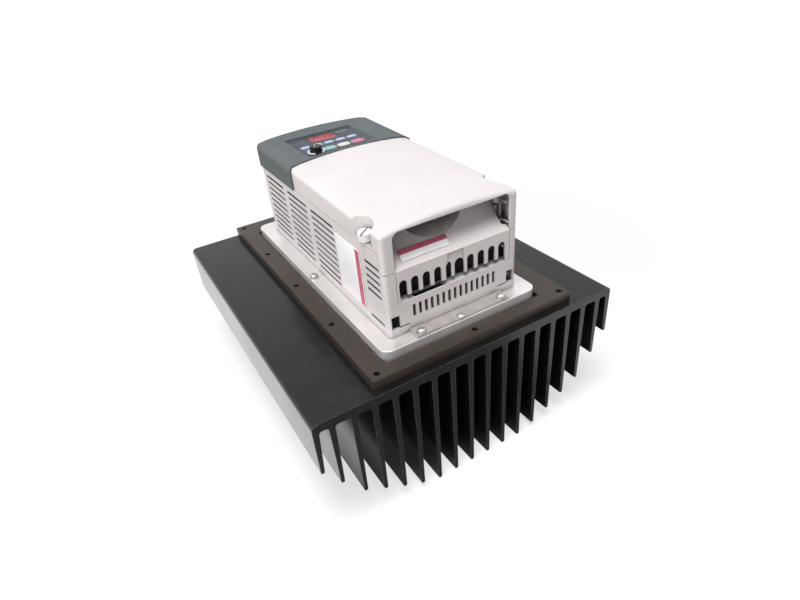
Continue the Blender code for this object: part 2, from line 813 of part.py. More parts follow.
def build_housing():
    height = seam_height - gap
    outer = rounded_outline(-half_body, 0, half_body, body_length, body_corner, 4)
    inner = rounded_outline(-half_body + wall, wall, half_body - wall, body_length - wall, 0.0015, 2)
    housing = plank("housing", outer, gap, height - gap, warm_white, drive, holes=[inner])
    reach = half_body + 0.01
    skirt = boxes("housing_skirt_trim", [((-reach, -0.01, ledge_height - gap),
                                          (reach, skirt_depth + gap, height + 0.01))], drive)
    cut(housing, skirt)
    window = boxes("guard_window", [((-mouth_left, -0.01, shelf_height),
                                     (mouth_right, wall + 0.002, height + 0.01))], drive)
    cut(housing, window)
    merged = half_body - wall + 0.0008
    shelf = boxes("wire_shelf", [((-merged, wall - 0.0008, shelf_height - wall),
                                  (merged, shelf_depth, shelf_height))], drive)
    cut(housing, shelf, "UNION")
    first = comb_middle - 3.5 * wire_slot_pitch - knockout_side
    last = comb_middle - 1.5 * wire_slot_pitch + wire_slot_width - 2 * knockout_lip + 0.0018
    knockout = boxes("shelf_knockout", [((first, knockout_lip, shelf_height - 2 * wall),
                                         (last, shelf_depth - knockout_lip,
                                          shelf_height + 0.001))], drive)
    cut(housing, knockout)
    lands = []
    for sign in (-1, 1):
        sides = sorted((sign * (half_body - land_size[0]), sign * merged))
        lands.append(((sides[0], scallop_place - land_size[1], seam_height - land_size[2]),
                      (sides[1], scallop_place + land_size[1], height)))
        rail = sorted((sign * (half_body - rail_width), sign * merged))
        lands.append(((rail[0], control_front - 0.002, seam_height - rail_drop - rail_height),
                      (rail[1], body_length - control_end + 0.002, seam_height - rail_drop)))
    cut(housing, boxes("screw_lands_and_rails", lands, drive), "UNION")
    half_foot = foot_half + gap
    feet = boxes("foot_cutouts", [((-half_foot, -0.002, -0.002), (half_foot, wall + 0.002, chassis_top + gap)),
                                  ((-half_foot, body_length - wall - 0.002, -0.002),
                                   (half_foot, body_length + 0.002, chassis_top + gap))], drive)
    cut(housing, feet)
    cut(housing, cover_screw_holes("housing_screw_clearance", cover_screw_shank + 0.0004,
                                   seam_height - cover_screw_reach - 0.0015, height + 0.01))
    cut(housing, side_vents())
    cut(housing, end_vents())
    cut(housing, corner_grooves())


# ---------------------------------------------------------------- wiring guard
def arch(middle, width, top, low):
    """A slot with a round head, open below."""
    return [(middle - width / 2, low), (middle + width / 2, low)] + \
        arc((middle, top - width / 2), width / 2, 0, 180, 6)


def guard_curve(offset=0.0, steps=10):
    """Side view of the guard's hollow, from the band's upper end to the cover's lip."""
    rise = mouth_top - guard_lip - ledge_height - guard_band_length * sin(guard_band_tilt)
    radius = rise / (cos(guard_band_tilt) - cos(guard_top_tilt))
    centre = (guard_band_length * cos(guard_band_tilt) - radius * sin(guard_band_tilt),
              ledge_height + guard_band_length * sin(guard_band_tilt) + radius * cos(guard_band_tilt))
    return arc(centre, radius + offset, degrees(guard_band_tilt) - 90, degrees(guard_top_tilt) - 90, steps)


def guard_outline(rise_from, thickness):
    """Side view of the guard: a front sheet, a flat band that leans back, and a hollow up to the lip."""
    back_foot = (thickness, ledge_height - thickness * 0.35)
    return [(0, rise_from), (thickness, rise_from), back_foot] + guard_curve(thickness) + \
        guard_curve()[::-1] + [(0, ledge_height)]


def finger_outline(margin, rise):
    """The finger hollow seen along its floor: a flat floor that turns up at both ends."""
    half = finger_width / 2 + margin
    height = finger_depth + margin
    points = [(half, height - margin + rise), (-half, height - margin + rise)]
    steps = 24
    for step in range(steps + 1):
        share = -cos(pi * step / steps)
        level = 1 - (1 - abs(share) ** finger_bend) ** (1 / finger_bend)
        points.append((half * share, height * level - margin))
    return points


def finger_prism(name, margin, rise):
    """The hollow drawn out along its floor, as much longer as it is higher."""
    outline = finger_outline(margin, rise)
    place = Matrix.Translation((finger_middle, finger_start * cos(guard_band_tilt),
                                ledge_height + finger_start * sin(guard_band_tilt)))
    lean = Matrix.Rotation(radians(90) + finger_tilt, 4, "X")
    return add(name, turned(flat_mesh(name, outline, 4 * (finger_depth + rise)), place @ lean), None, (0, 0, 0), drive)


def build_guard():
    left = -mouth_left + gap
    right = mouth_right - gap
    low = shelf_height + gap
    middle = (left + right) / 2
    outline = guard_outline(low, guard_wall)
    wide = flat_mesh("terminal_guard", outline, right - left + 0.01)
    guard = add("terminal_guard", sideways(wide, middle), warm_white, (0, 0, 0), drive)
    face = rounded_outline(left, low - 0.01, right, mouth_top - gap, mouth_corner, 5)
    face = upright(flat_mesh("guard_face", face, 0.08), 0.03)
    cut(guard, add("guard_face", face, None, (0, 0, 0), drive), "INTERSECT")
    holes = boxes("tooth_gap", [((left + guard_leg_left, -0.002, low - 0.002),
                                 (right - guard_leg_right, guard_wall + 0.002, tooth_tip))], drive)
    cut(guard, holes)
    for place in range(wire_slots):
        centre = comb_middle + (place - (wire_slots - 1) / 2) * wire_slot_pitch
        width = wire_slot_width
        if place == wire_slots // 2 - 1:
            width = wire_slot_width * 0.82
        if place == wire_slots // 2:
            width = wire_slot_width * 1.25
        shape = flat_mesh("wire_slot", arch(centre, width, wire_slot_top, tooth_tip - 0.001), 0.02)
        cut(guard, add("wire_slot_%02d" % place, upright(shape, 0), None, (0, 0, 0), drive))
    recess_left = comb_middle - wire_slot_pitch / 2 - latch_recess_side
    recess_right = comb_middle + wire_slot_pitch / 2 + 3 * latch_recess_side
    recess = boxes("latch_recess", [((recess_left, -0.002, low - 0.002),
                                     (recess_right, latch_recess_depth, ledge_height - 0.0008))], drive)
    cut(guard, recess)
    end = right - guard_end
    corner = boxes("guard_right_corner", [((end, guard_end_depth, ledge_height + guard_rail / 2),
                                           (right + guard_end, half_body, back_height))], drive)
    cut(guard, corner)
    rail_out = right - guard_rail_side
    rail_in = rail_out - guard_rail
    low_rail = ledge_height + guard_rail_low
    high_rail = ledge_height + guard_rail_high
    post_end = guard_post_place + guard_rail
    spans = (((end - 0.001, guard_web_place, low_rail), (rail_out, guard_web_place + guard_rail, low_rail + guard_rail)),
             ((rail_in, 0.0010, low_rail), (rail_out, guard_rail_reach, low_rail + guard_rail)),
             ((rail_in, guard_post_place, low_rail), (rail_out, post_end, high_rail + guard_rail)),
             ((rail_in, 0.0038, high_rail), (rail_out, post_end, high_rail + guard_rail)))
    for number, span in enumerate(spans):
        cut(guard, boxes("guard_rail_%d" % number, [span], drive), "UNION")
    cut(guard, scallop("guard_scallop", shelf_height, back_height, wall + gap))
    hollow = finger_prism("finger_hollow", 0.0, 2 * finger_depth)
    cut(guard, hollow)
    cup = finger_prism("finger_cup", guard_wall, finger_depth)
    cut(cup, hollow)
    behind = [(guard_wall, ledge_height)] + guard_curve(guard_wall / 2) + \
        [(finger_end + guard_wall, mouth_top), (finger_end, shelf_height), (guard_wall, shelf_height)]
    behind = sideways(flat_mesh("behind_guard", behind, body_width), 0)
    cut(cup, add("behind_guard", behind, None, (0, 0, 0), drive), "INTERSECT")
    cut(guard, cup, "UNION")


def build_labels():
    block("side_label", (-half_body - gap - label_thickness, side_label_start, side_label_low),
          (-half_body - gap, vent_front_zone - side_label_gap, seam_height - side_label_drop),
          label_white, drive)
    half_x = guard_label_width / 2
    half_y = guard_label_height / 2
    bm = bmesh.new()
    box_into(bm, (-half_x, -half_y, 0), (half_x, half_y, label_thickness))
    piece = add("guard_label", to_mesh("guard_label", bm), label_white, (0, 0, 0), drive)
    reach = guard_label_start + half_y
    piece.location = (-mouth_left + guard_label_inset + half_x,
                      reach * cos(guard_band_tilt) - gap * sin(guard_band_tilt),
                      ledge_height + reach * sin(guard_band_tilt) + gap * cos(guard_band_tilt))
    piece.rotation_euler.x = guard_band_tilt


# ---------------------------------------------------------------- keypad head
def key_places():
    """Name, place, size and finish of every key."""
    keys = []
    for step, name in enumerate(("escape", "select", "up", "down", "enter")):
        keys.append(("key_" + name, row_one_x + step * row_one_pitch, panel_front + row_one_place, small_key, key_blue))
    for step, (name, material) in enumerate((("start", key_green), ("reverse", key_white),
                                             ("stop", key_red))):
        keys.append(("key_" + name, row_two_x + step * row_two_pitch, panel_front + row_two_place,
                     large_key, material))
    return keys


def key_outline(size, margin=0.0):
    half_x = size[0] / 2 + margin
    half_y = size[1] / 2 + margin
    return rounded_outline(-half_x, -half_y, half_x, half_y, min(half_x, half_y) * 0.8, 3)


def shifted(outline, across, along):
    return [(point[0] + across, point[1] + along) for point in outline]


def opening_outlines(margin):
    """Keys, shaft, display and lens, as seen from above the panel."""
    outlines = [shifted(key_outline(size, key_clearance + margin), across, along)
                for name, across, along, size, material in key_places()]
    outlines.append(circle((knob_x, panel_front + knob_place), knob_shaft + 0.0005 + margin, 14))
    return outlines


def display_outline(margin):
    half_x = display_size[0] / 2 + margin
    half_y = display_size[1] / 2 + margin
    return shifted(rounded_outline(-half_x, -half_y, half_x, half_y, 0.001, 2), display_x,
                   panel_front + display_place)


def lens_outline(margin):
    half_x = lens_size[0] / 2 + margin
    half_y = lens_size[1] / 2 + margin
    return shifted(rounded_outline(-half_x, -half_y, half_x, half_y, 0.001, 2), lens_x,
                   panel_front + lens_place)


def build_head():
    low = seam_height
    start = head_front - head_corner * 0.8
    back = body_length + head_overhang
    head = shell_block("keypad_head", low, start, back, -head_overhang, slate_grey, back, head_crown)
    reach = half_body + gap
    shape = rounded_outline(-reach, 0, reach, head_front, head_corner, 5)
    space = plank("cover_space", shape, low - 0.02, 0.08, None, drive)
    cut(head, space)
    inside = half_body - wall
    cavity = boxes("head_cavity", [((-inside, head_front + wall, low - 0.02),
                                    (inside, body_length - wall, head_ceiling))], drive)
    cut(head, cavity)
    bm = bmesh.new()
    made = box_into(bm, (-panel_width / 2 - gap, panel_front - gap, panel_height),
                    (panel_width / 2 + gap, panel_front + panel_length + gap,
                     panel_height + trough_depth))
    for corner in made["verts"]:
        if corner.co.z > panel_height + trough_depth / 2:
            corner.co.x += trough_side_run if corner.co.x > 0 else -trough_side_run
            back = corner.co.y > panel_front + panel_length / 2
            corner.co.y += trough_back_run if back else -trough_front_run
    cut(head, add("head_trough", to_mesh("head_trough", bm), None, (0, 0, 0), drive))
    pocket = boxes("panel_pocket", [((-panel_width / 2 - gap, panel_front - gap, pocket_floor),
                                     (panel_width / 2 + gap, panel_front + panel_length + gap,
                                      panel_height + 0.001))], drive)
    cut(head, pocket)
    outlines = opening_outlines(0)
    outlines.append(display_outline(-0.001))
    outlines.append(lens_outline(gap))
    for number, outline in enumerate(outlines):
        name = "head_opening_%02d" % number
        cut(head, plank(name, outline, head_ceiling - 0.004, 0.01, None, drive))
    bm = bmesh.new()
    posts_low = keypad_board_top + gap
    post_x = panel_width / 2 - post_inset
    for across in (-post_x, post_x):
        for along in (panel_front + post_inset, panel_front + panel_length - post_inset):
            middle = Matrix.Translation((across, along, (posts_low + head_ceiling + 0.001) / 2))
            bmesh.ops.create_cone(bm, cap_ends=True, segments=12, radius1=post_radius,
                                  radius2=post_radius,
                                  depth=head_ceiling + 0.001 - posts_low, matrix=middle)
    cut(head, add("board_posts", to_mesh("board_posts", bm), None, (0, 0, 0), drive), "UNION")


def build_panel():
    outline = rectangle(-panel_width / 2, panel_front, panel_width / 2, panel_front + panel_length)
    holes = opening_outlines(0)
    holes.append(display_outline(gap))
    holes.append(lens_outline(gap))
    plank("keypad_panel", outline, panel_height - panel_thickness, panel_thickness, panel_blue, drive,
          holes=holes)
    plank("display_window", display_outline(0), panel_height - panel_thickness, panel_thickness,
          display_red, drive)
    lens_low = keypad_board_top + gap
    plank("indicator_lens", lens_outline(0), lens_low, panel_height + 0.0002 - lens_low, lens_olive,
          drive)
    half_x = display_size[0] / 2 - 0.0015
    half_y = display_size[1] / 2 - 0.0015
    display_y = panel_front + display_place
    block("display_module", (display_x - half_x, display_y - half_y, keypad_board_top + gap),
          (display_x + half_x, display_y + half_y, panel_height - panel_thickness - gap),
          black_plastic, drive)
    board = rectangle(-panel_width / 2, panel_front, panel_width / 2, panel_front + panel_length)
    plank("keypad_board", board, keypad_board_top - board_thickness, board_thickness, board_green, drive,
          holes=[circle((knob_x, panel_front + knob_place), knob_shaft + 0.0006, 14)])


def build_keys():
    for name, across, along, size, material in key_places():
        mesh = flat_mesh(name, key_outline(size), key_height)
        key = add(name, mesh, material, (across, along, key_top - key_height / 2), drive, smooth=40)
        soften(key, 0.0004, 2, 60)


def build_knob():
    knob_y = panel_front + knob_place
    low = panel_height + gap
    top = low + knob_height
    shaft_low = keypad_board_top - board_thickness
    profile = [(0, top), (knob_radius - 0.0012, top), (knob_radius - 0.0004, top - 0.0006),
               (knob_radius, low + 0.0012), (knob_radius, low), (knob_shaft, low),
               (knob_shaft, shaft_low), (0, shaft_low)]
    knob = spun("speed_knob", profile, (knob_x, knob_y, 0), black_plastic, drive, 32)
    pointer = block("pointer_groove", (knob_x - 0.0005, knob_y + 0.001, top - 0.0006),
                    (knob_x + 0.0005, knob_y + knob_radius + 0.001, top + 0.001), None, drive)
    cut(knob, pointer)
    ring = [circle((0, 0), knob_radius + 0.0005, 32)]
    scale = plank("knob_scale", circle((0, 0), scale_radius, 32), panel_height + gap, scale_thickness,
                  white_plastic, drive, holes=ring)
    scale.location.x = knob_x
    scale.location.y = knob_y
    pot_top = shaft_low - gap
    block("potentiometer", (knob_x - pot_size[0] / 2, knob_y - pot_size[1] / 2, pot_top - pot_size[2]),
          (knob_x + pot_size[0] / 2, knob_y + pot_size[1] / 2, pot_top), black_plastic, drive,
          edge=0.0004, steps=1)


# ---------------------------------------------------------------- inside the body
def build_chassis():
    """The flat metal base inside the housing, with a foot under each end's screws."""
    side = inside
    foot = foot_half
    front = -plate_front_margin + foot_inset
    back = plate_back - foot_inset
    inner_front = wall + inner_clearance
    inner_back = body_length - wall - inner_clearance
    outline = [(-foot, front), (foot, front), (foot, inner_front), (side, inner_front),
               (side, inner_back), (foot, inner_back), (foot, back), (-foot, back),
               (-foot, inner_back), (-side, inner_back), (-side, inner_front), (-foot, inner_front)]
    holes = [circle(place, screw_shank + 0.0004, 16) for label, place in plate_screw_places().items()
             if not label.startswith("side")]
    plank("chassis", outline, gap, chassis_thickness, satin_steel, drive, holes=holes)


def build_inside():
    half_x = module_size[0] / 2
    module_end = body_length - module_back
    block("power_module", (-half_x, module_end - module_size[1], chassis_top + gap),
          (half_x, module_end, module_top), black_plastic, drive, edge=0.001, steps=1)
    board = rounded_outline(-inside, shelf_depth + 0.0015, inside, body_length - board_end, 0.002, 2)
    plank("power_board", board, power_board_low, board_thickness, board_green, drive)
    seat = power_board_top + gap
    can_top = control_board_low - can_headroom
    for step in range(3):
        place = ((step - 1) * (inside - can_side - can_radius), body_length - can_back, 0)
        can = [(0, can_top), (can_radius - 0.001, can_top), (can_radius, can_top - 0.001),
               (can_radius, seat), (0, seat)]
        spun("bus_capacitor_%d" % (step + 1), can, place, can_blue, drive, 24)
    terminal_half = half_body - terminal_side
    terminal_front = shelf_depth + 0.0018
    block("power_terminals", (-terminal_half, terminal_front, seat),
          (terminal_half, terminal_front + terminal_depth, ledge_height - terminal_drop), black_plastic,
          drive, edge=0.0006, steps=1)
    control = rounded_outline(-inside, control_front, inside, body_length - control_end, 0.002, 2)
    plank("control_board", control, control_board_low, board_thickness, board_green, drive)
    seat = control_board_top + gap
    half_x = control_terminal_size[0] / 2
    block("control_terminals", (control_terminal_x - half_x, control_front + 0.002, seat),
          (control_terminal_x + half_x, control_front + 0.002 + control_terminal_size[1],
           seat + control_terminal_size[2]), terminal_grey, drive, edge=0.0005, steps=1)
    header_y = panel_front + 0.0015
    block("keypad_header", (-header_size[0] / 2, header_y, seat),
          (header_size[0] / 2, header_y + header_size[1], keypad_board_top - board_thickness - gap),
          black_plastic, drive)


def build_flange_pin():
    low = chassis_top + gap
    rise = pin_height
    dome = [(0, low + rise), (pin_radius * 0.45, low + rise * 0.88), (pin_radius * 0.8, low + rise * 0.52),
            (pin_radius, low), (0, low)]
    spun("foot_pin", dome, (pin_x, pin_edge - plate_front_margin, 0), zinc, drive, 20)


def main():
    build_heatsink()
    build_frame()
    build_plate()
    build_plate_screws()
    build_housing()
    build_cover()
    build_cover_screws()
    build_guard()
    build_chassis()
    build_labels()
    build_head()
    build_panel()
    build_keys()
    build_knob()
    build_inside()
    build_flange_pin()


main()
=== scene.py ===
"""A compact motor drive on a finned heat sink: finishes, labels, keypad detail and a pale studio."""

import math

import bmesh
import bpy
from mathutils import Matrix, Vector


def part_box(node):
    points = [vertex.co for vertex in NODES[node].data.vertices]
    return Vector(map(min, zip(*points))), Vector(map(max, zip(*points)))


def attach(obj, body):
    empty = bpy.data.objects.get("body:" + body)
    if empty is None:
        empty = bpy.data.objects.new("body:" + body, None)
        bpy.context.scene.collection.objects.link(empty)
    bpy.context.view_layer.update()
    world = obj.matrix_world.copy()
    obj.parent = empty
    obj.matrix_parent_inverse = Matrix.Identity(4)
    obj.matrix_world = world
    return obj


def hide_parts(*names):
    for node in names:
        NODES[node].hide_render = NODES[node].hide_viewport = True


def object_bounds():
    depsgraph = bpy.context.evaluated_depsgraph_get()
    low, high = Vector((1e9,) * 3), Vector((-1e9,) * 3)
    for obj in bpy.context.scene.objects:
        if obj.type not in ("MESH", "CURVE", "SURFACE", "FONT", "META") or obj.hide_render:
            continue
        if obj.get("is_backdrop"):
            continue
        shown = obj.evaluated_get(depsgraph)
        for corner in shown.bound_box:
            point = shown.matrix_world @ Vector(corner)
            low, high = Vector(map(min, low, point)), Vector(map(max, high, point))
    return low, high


bl_info = {
    "name": "Finned Motor Drive",
    "version": (1, 0, 0),
    "blender": (4, 5, 0),
    "location": "View3D > Sidebar > Motor Drive",
    "description": "Dresses a compact motor drive on its finned heat sink",
    "category": "Object",
}

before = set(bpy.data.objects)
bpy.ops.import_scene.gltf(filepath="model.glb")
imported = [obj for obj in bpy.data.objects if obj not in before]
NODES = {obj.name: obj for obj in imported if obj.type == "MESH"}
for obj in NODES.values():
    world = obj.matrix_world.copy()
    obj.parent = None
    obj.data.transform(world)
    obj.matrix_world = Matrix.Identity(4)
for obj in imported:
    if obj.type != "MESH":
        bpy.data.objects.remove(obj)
MM = 0.001


# ---------------------------------------------------------------- shader groups


def put(tree, kind, settings=None, **inputs):
    """Adds a node to a tree. An input takes a plain value or the socket that feeds it.

    Inputs are called by name, with _ for a space, or by number as at0, at1 where names repeat.
    """
    node = tree.nodes.new(kind)
    for key, value in (settings or {}).items():
        setattr(node, key, value)
    for key, value in inputs.items():
        name = key.replace("_", " ")
        by_number = name.startswith("at") and name[2:].isdigit()
        socket = node.inputs[int(name[2:]) if by_number else name]
        if isinstance(value, bpy.types.NodeSocket):
            tree.links.new(value, socket)
        else:
            socket.default_value = value
    return node


def maths(tree, operation, first, second=0.0, clamp=False):
    """One Math node's result."""
    node = put(tree, "ShaderNodeMath", {"operation": operation, "use_clamp": clamp}, at0=first, at1=second)
    return node.outputs[0]


def ramp(tree, value, low, high, out_low=0.0, out_high=1.0):
    """A smooth step of a value between two places."""
    node = put(
        tree,
        "ShaderNodeMapRange",
        {"interpolation_type": "SMOOTHSTEP"},
        Value=value,
        From_Min=low,
        From_Max=high,
        To_Min=out_low,
        To_Max=out_high,
    )
    return node.outputs["Result"]


def blend_colour(tree, share, first, second):
    """A mix of two colours."""
    node = tree.nodes.new("ShaderNodeMix")
    node.data_type = "RGBA"
    for socket, value in ((node.inputs[0], share), (node.inputs[6], first), (node.inputs[7], second)):
        if isinstance(value, bpy.types.NodeSocket):
            tree.links.new(value, socket)
        else:
            socket.default_value = value
    return node.outputs[2]


def noise(tree, vector, scale, detail=2.0, rough=0.5):
    """A noise pattern's value."""
    node = put(tree, "ShaderNodeTexNoise", None, Vector=vector, Scale=scale, Detail=detail, Roughness=rough)
    return node.outputs["Fac"]


def new_group(name, inputs, outputs):
    """An empty shader group with its sockets, each given as name, kind and default."""
    tree = bpy.data.node_groups.new(name, "ShaderNodeTree")
    for label, kind, default in inputs:
        socket = tree.interface.new_socket(label, in_out="INPUT", socket_type=kind)
        if default is not None:
            socket.default_value = default
    for label, kind in outputs:
        tree.interface.new_socket(label, in_out="OUTPUT", socket_type=kind)
    return tree, tree.nodes.new("NodeGroupInput"), tree.nodes.new("NodeGroupOutput")


FLOAT, VECTOR = "NodeSocketFloat", "NodeSocketVector"


def moulded_grain():
    """The fine stipple of a spark-eroded mould."""
    tree, take, give = new_group(
        "Moulded Grain",
        (("Vector", VECTOR, None), ("Scale", FLOAT, 2200.0)),
        (("Height", FLOAT), ("Tone", FLOAT)),
    )
    fine = noise(tree, take.outputs["Vector"], take.outputs["Scale"], 3.0, 0.6)
    coarse = noise(tree, take.outputs["Vector"], maths(tree, "MULTIPLY", take.outputs["Scale"], 0.23), 2.0)
    height = maths(tree, "ADD", maths(tree, "MULTIPLY", fine, 0.65), maths(tree, "MULTIPLY", coarse, 0.35))
    tree.links.new(height, give.inputs["Height"])
    tree.links.new(ramp(tree, height, 0.35, 0.65), give.inputs["Tone"])
    return tree


def tone_drift():
    """Slow changes of tone over a surface: handling, uneven dye and old dirt."""
    tree, take, give = new_group(
        "Tone Drift",
        (("Vector", VECTOR, None), ("Scale", FLOAT, 14.0)),
        (("Tone", FLOAT), ("Smudge", FLOAT)),
    )
    wide = noise(tree, take.outputs["Vector"], take.outputs["Scale"], 4.0, 0.55)
    finer = maths(tree, "MULTIPLY", take.outputs["Scale"], 6.5)
    small = noise(tree, take.outputs["Vector"], finer, 5.0, 0.65)
    tree.links.new(ramp(tree, wide, 0.3, 0.7), give.inputs["Tone"])
    tree.links.new(maths(tree, "MULTIPLY", ramp(tree, small, 0.5, 0.75), wide), give.inputs["Smudge"])
    return tree


def edge_wear():
    """Where an outer edge is rubbed, and the normal of the surface with that edge rounded."""
    tree, take, give = new_group(
        "Edge Wear",
        (("Vector", VECTOR, None), ("Radius", FLOAT, 0.0004), ("Breakup", FLOAT, 260.0)),
        (("Mask", FLOAT), ("Normal", VECTOR)),
    )
    rounded = put(tree, "ShaderNodeBevel", {"samples": 6}, Radius=take.outputs["Radius"])
    place = tree.nodes.new("ShaderNodeNewGeometry")
    turn = put(
        tree,
        "ShaderNodeVectorMath",
        {"operation": "DOT_PRODUCT"},
        at0=rounded.outputs["Normal"],
        at1=place.outputs["Normal"],
    )
    edge = ramp(tree, turn.outputs["Value"], 0.995, 0.86)
    broken = ramp(tree, noise(tree, take.outputs["Vector"], take.outputs["Breakup"], 4.0, 0.6), 0.35, 0.62)
    tree.links.new(maths(tree, "MULTIPLY", edge, broken), give.inputs["Mask"])
    tree.links.new(rounded.outputs["Normal"], give.inputs["Normal"])
    return tree


def settled_dust():
    """Pale dust that lies on what faces up."""
    tree, take, give = new_group(
        "Settled Dust", (("Vector", VECTOR, None), ("Scale", FLOAT, 60.0)), (("Mask", FLOAT),)
    )
    place = tree.nodes.new("ShaderNodeNewGeometry")
    up = put(tree, "ShaderNodeSeparateXYZ", None, Vector=place.outputs["Normal"]).outputs["Z"]
    cloud = noise(tree, take.outputs["Vector"], take.outputs["Scale"], 6.0, 0.62)
    specks = noise(tree, take.outputs["Vector"], maths(tree, "MULTIPLY", take.outputs["Scale"], 22.0), 2.0)
    lying = maths(tree, "MULTIPLY", ramp(tree, up, 0.3, 1.0), ramp(tree, cloud, 0.38, 0.72))
    spotted = maths(tree, "MULTIPLY", lying, ramp(tree, specks, 0.42, 0.66, 0.45, 1.0))
    tree.links.new(spotted, give.inputs["Mask"])
    return tree


def drawn_lines():
    """Long fine lines, as extruding, rolling or brushing leaves them. The lines run along local Y."""
    tree, take, give = new_group(
        "Drawn Lines",
        (("Vector", VECTOR, None), ("Scale", FLOAT, 900.0)),
        (("Height", FLOAT), ("Tone", FLOAT)),
    )
    long_way = put(tree, "ShaderNodeMapping", None, Vector=take.outputs["Vector"], Scale=(1.0, 0.012, 1.0))
    fine = noise(tree, long_way.outputs[0], take.outputs["Scale"], 3.0, 0.7)
    wide = noise(tree, long_way.outputs[0], maths(tree, "MULTIPLY", take.outputs["Scale"], 0.12), 2.0)
    height = maths(tree, "ADD", maths(tree, "MULTIPLY", fine, 0.7), maths(tree, "MULTIPLY", wide, 0.3))
    tree.links.new(height, give.inputs["Height"])
    tree.links.new(ramp(tree, height, 0.38, 0.62), give.inputs["Tone"])
    return tree


def recess_painted_shade():
    """Painted shade where a surface lies deep in a recess, a slot or a corner, a little patchy."""
    tree, take, give = new_group(
        "Recess Painted Shade",
        (("Vector", VECTOR, None), ("Depth", FLOAT, 0.03), ("Scale", FLOAT, 90.0)),
        (("Mask", FLOAT),),
    )
    open_share = put(tree, "ShaderNodeAmbientOcclusion", {"samples": 6}, Distance=take.outputs["Depth"])
    deep = ramp(tree, open_share.outputs["AO"], 0.72, 0.28)
    cloud = noise(tree, take.outputs["Vector"], take.outputs["Scale"], 3.0)
    patchy = ramp(tree, cloud, 0.3, 0.7, 0.85, 1.0)
    tree.links.new(maths(tree, "MULTIPLY", deep, patchy), give.inputs["Mask"])
    return tree


GROUP_MAKERS = {
    "Recess Painted Shade": recess_painted_shade,
    "Moulded Grain": moulded_grain,
    "Tone Drift": tone_drift,
    "Edge Wear": edge_wear,
    "Settled Dust": settled_dust,
    "Drawn Lines": drawn_lines,
}


def group(tree, name, **inputs):
    """A shader group placed in a material, made once when it is first wanted."""
    made = bpy.data.node_groups.get(name) or GROUP_MAKERS[name]()
    return put(tree, "ShaderNodeGroup", {"node_tree": made}, **inputs)


# ---------------------------------------------------------------- finishes


SMUDGE_SHARE, SMUDGE_SHADE = 2.5, 0.72  # how far the tone's drift smudges, and how dark a smudge is
GLOSS_SPREAD = (0.9, 1.12)  # the roughness at the two ends of the tone's drift
LINE_BUMP, LINE_TONE, LINE_SHADE = 0.6, 0.18, 1.5  # how much drawn lines stand out, tint and lighten
GRAIN_BUMP, GRAIN_GLOSS = 0.7, (-0.04, 0.05)  # how much the stipple stands out and changes the gloss
DUST_DULLING = 0.6  # how much dust roughens what it lies on


def shade(colour, factor):
    """A colour made lighter or darker, as RGBA."""
    return tuple(min(1.0, c * factor) for c in colour[:3]) + (1.0,)


def finish(
    name,
    colour,
    roughness,
    metallic=0.0,
    drift=0.1,
    drift_scale=14.0,
    grain=0.0,
    grain_scale=2200.0,
    lines=0.0,
    lines_scale=900.0,
    radius=0.0003,
    worn=None,
    wear=0.0,
    dust=0.0,
    dust_colour=(0.45, 0.43, 0.40, 1.0),
    specular=0.5,
    painted_shade=0.0,
    painted_shade_depth=0.03,
    painted_shade_colour=(0.055, 0.042, 0.034, 1.0),
):
    """A material with drifting tone, grain or drawn lines, rubbed edges, painted shade in recesses and dust.
    """
    made = bpy.data.materials.new(name)
    made.use_nodes = True
    tree = made.node_tree
    skin = tree.nodes["Principled BSDF"]
    skin.inputs["Metallic"].default_value = metallic
    skin.inputs["Specular IOR Level"].default_value = specular
    place = tree.nodes.new("ShaderNodeTexCoord").outputs["Object"]
    slow = group(tree, "Tone Drift", Vector=place, Scale=drift_scale)
    paint = blend_colour(tree, slow.outputs["Tone"], shade(colour, 1.0 - drift), shade(colour, 1.0 + drift))
    smudged = maths(tree, "MULTIPLY", slow.outputs["Smudge"], min(1.0, SMUDGE_SHARE * drift))
    paint = blend_colour(tree, smudged, paint, shade(colour, SMUDGE_SHADE))
    smooth, rough = (min(1.0, roughness * share) for share in GLOSS_SPREAD)
    gloss = ramp(tree, slow.outputs["Tone"], 0.0, 1.0, smooth, rough)
    edges = group(tree, "Edge Wear", Vector=place, Radius=radius)
    normal = edges.outputs["Normal"]
    if lines:
        drawn = group(tree, "Drawn Lines", Vector=place, Scale=lines_scale)
        normal = put(
            tree,
            "ShaderNodeBump",
            None,
            Strength=LINE_BUMP,
            Distance=lines,
            Height=drawn.outputs["Height"],
            Normal=normal,
        ).outputs[0]
        lined = maths(tree, "MULTIPLY", drawn.outputs["Tone"], LINE_TONE)
        paint = blend_colour(tree, lined, paint, shade(colour, LINE_SHADE))
    if grain:
        stipple = group(tree, "Moulded Grain", Vector=place, Scale=grain_scale)
        normal = put(
            tree,
            "ShaderNodeBump",
            None,
            Strength=GRAIN_BUMP,
            Distance=grain,
            Height=stipple.outputs["Height"],
            Normal=normal,
        ).outputs[0]
        gloss = maths(tree, "ADD", gloss, ramp(tree, stipple.outputs["Tone"], 0.0, 1.0, *GRAIN_GLOSS))
    if painted_shade:
        # Painted shade: surfaces in recesses, slots and corners darken towards a dark colour by how closed in
        # they are.
        deep = group(tree, "Recess Painted Shade", Vector=place, Depth=painted_shade_depth)
        paint = blend_colour(tree, maths(tree, "MULTIPLY", deep.outputs["Mask"], painted_shade), paint, painted_shade_colour)
    if wear:
        rubbed = maths(tree, "MULTIPLY", edges.outputs["Mask"], wear)
        paint = blend_colour(tree, rubbed, paint, worn)
    if dust:
        lying = group(tree, "Settled Dust", Vector=place)
        powder = maths(tree, "MULTIPLY", lying.outputs["Mask"], dust)
        paint = blend_colour(tree, powder, paint, dust_colour)
        gloss = maths(tree, "ADD", gloss, maths(tree, "MULTIPLY", powder, DUST_DULLING), clamp=True)
    tree.links.new(paint, skin.inputs["Base Color"])
    tree.links.new(gloss, skin.inputs["Roughness"])
    tree.links.new(normal, skin.inputs["Normal"])
    return made


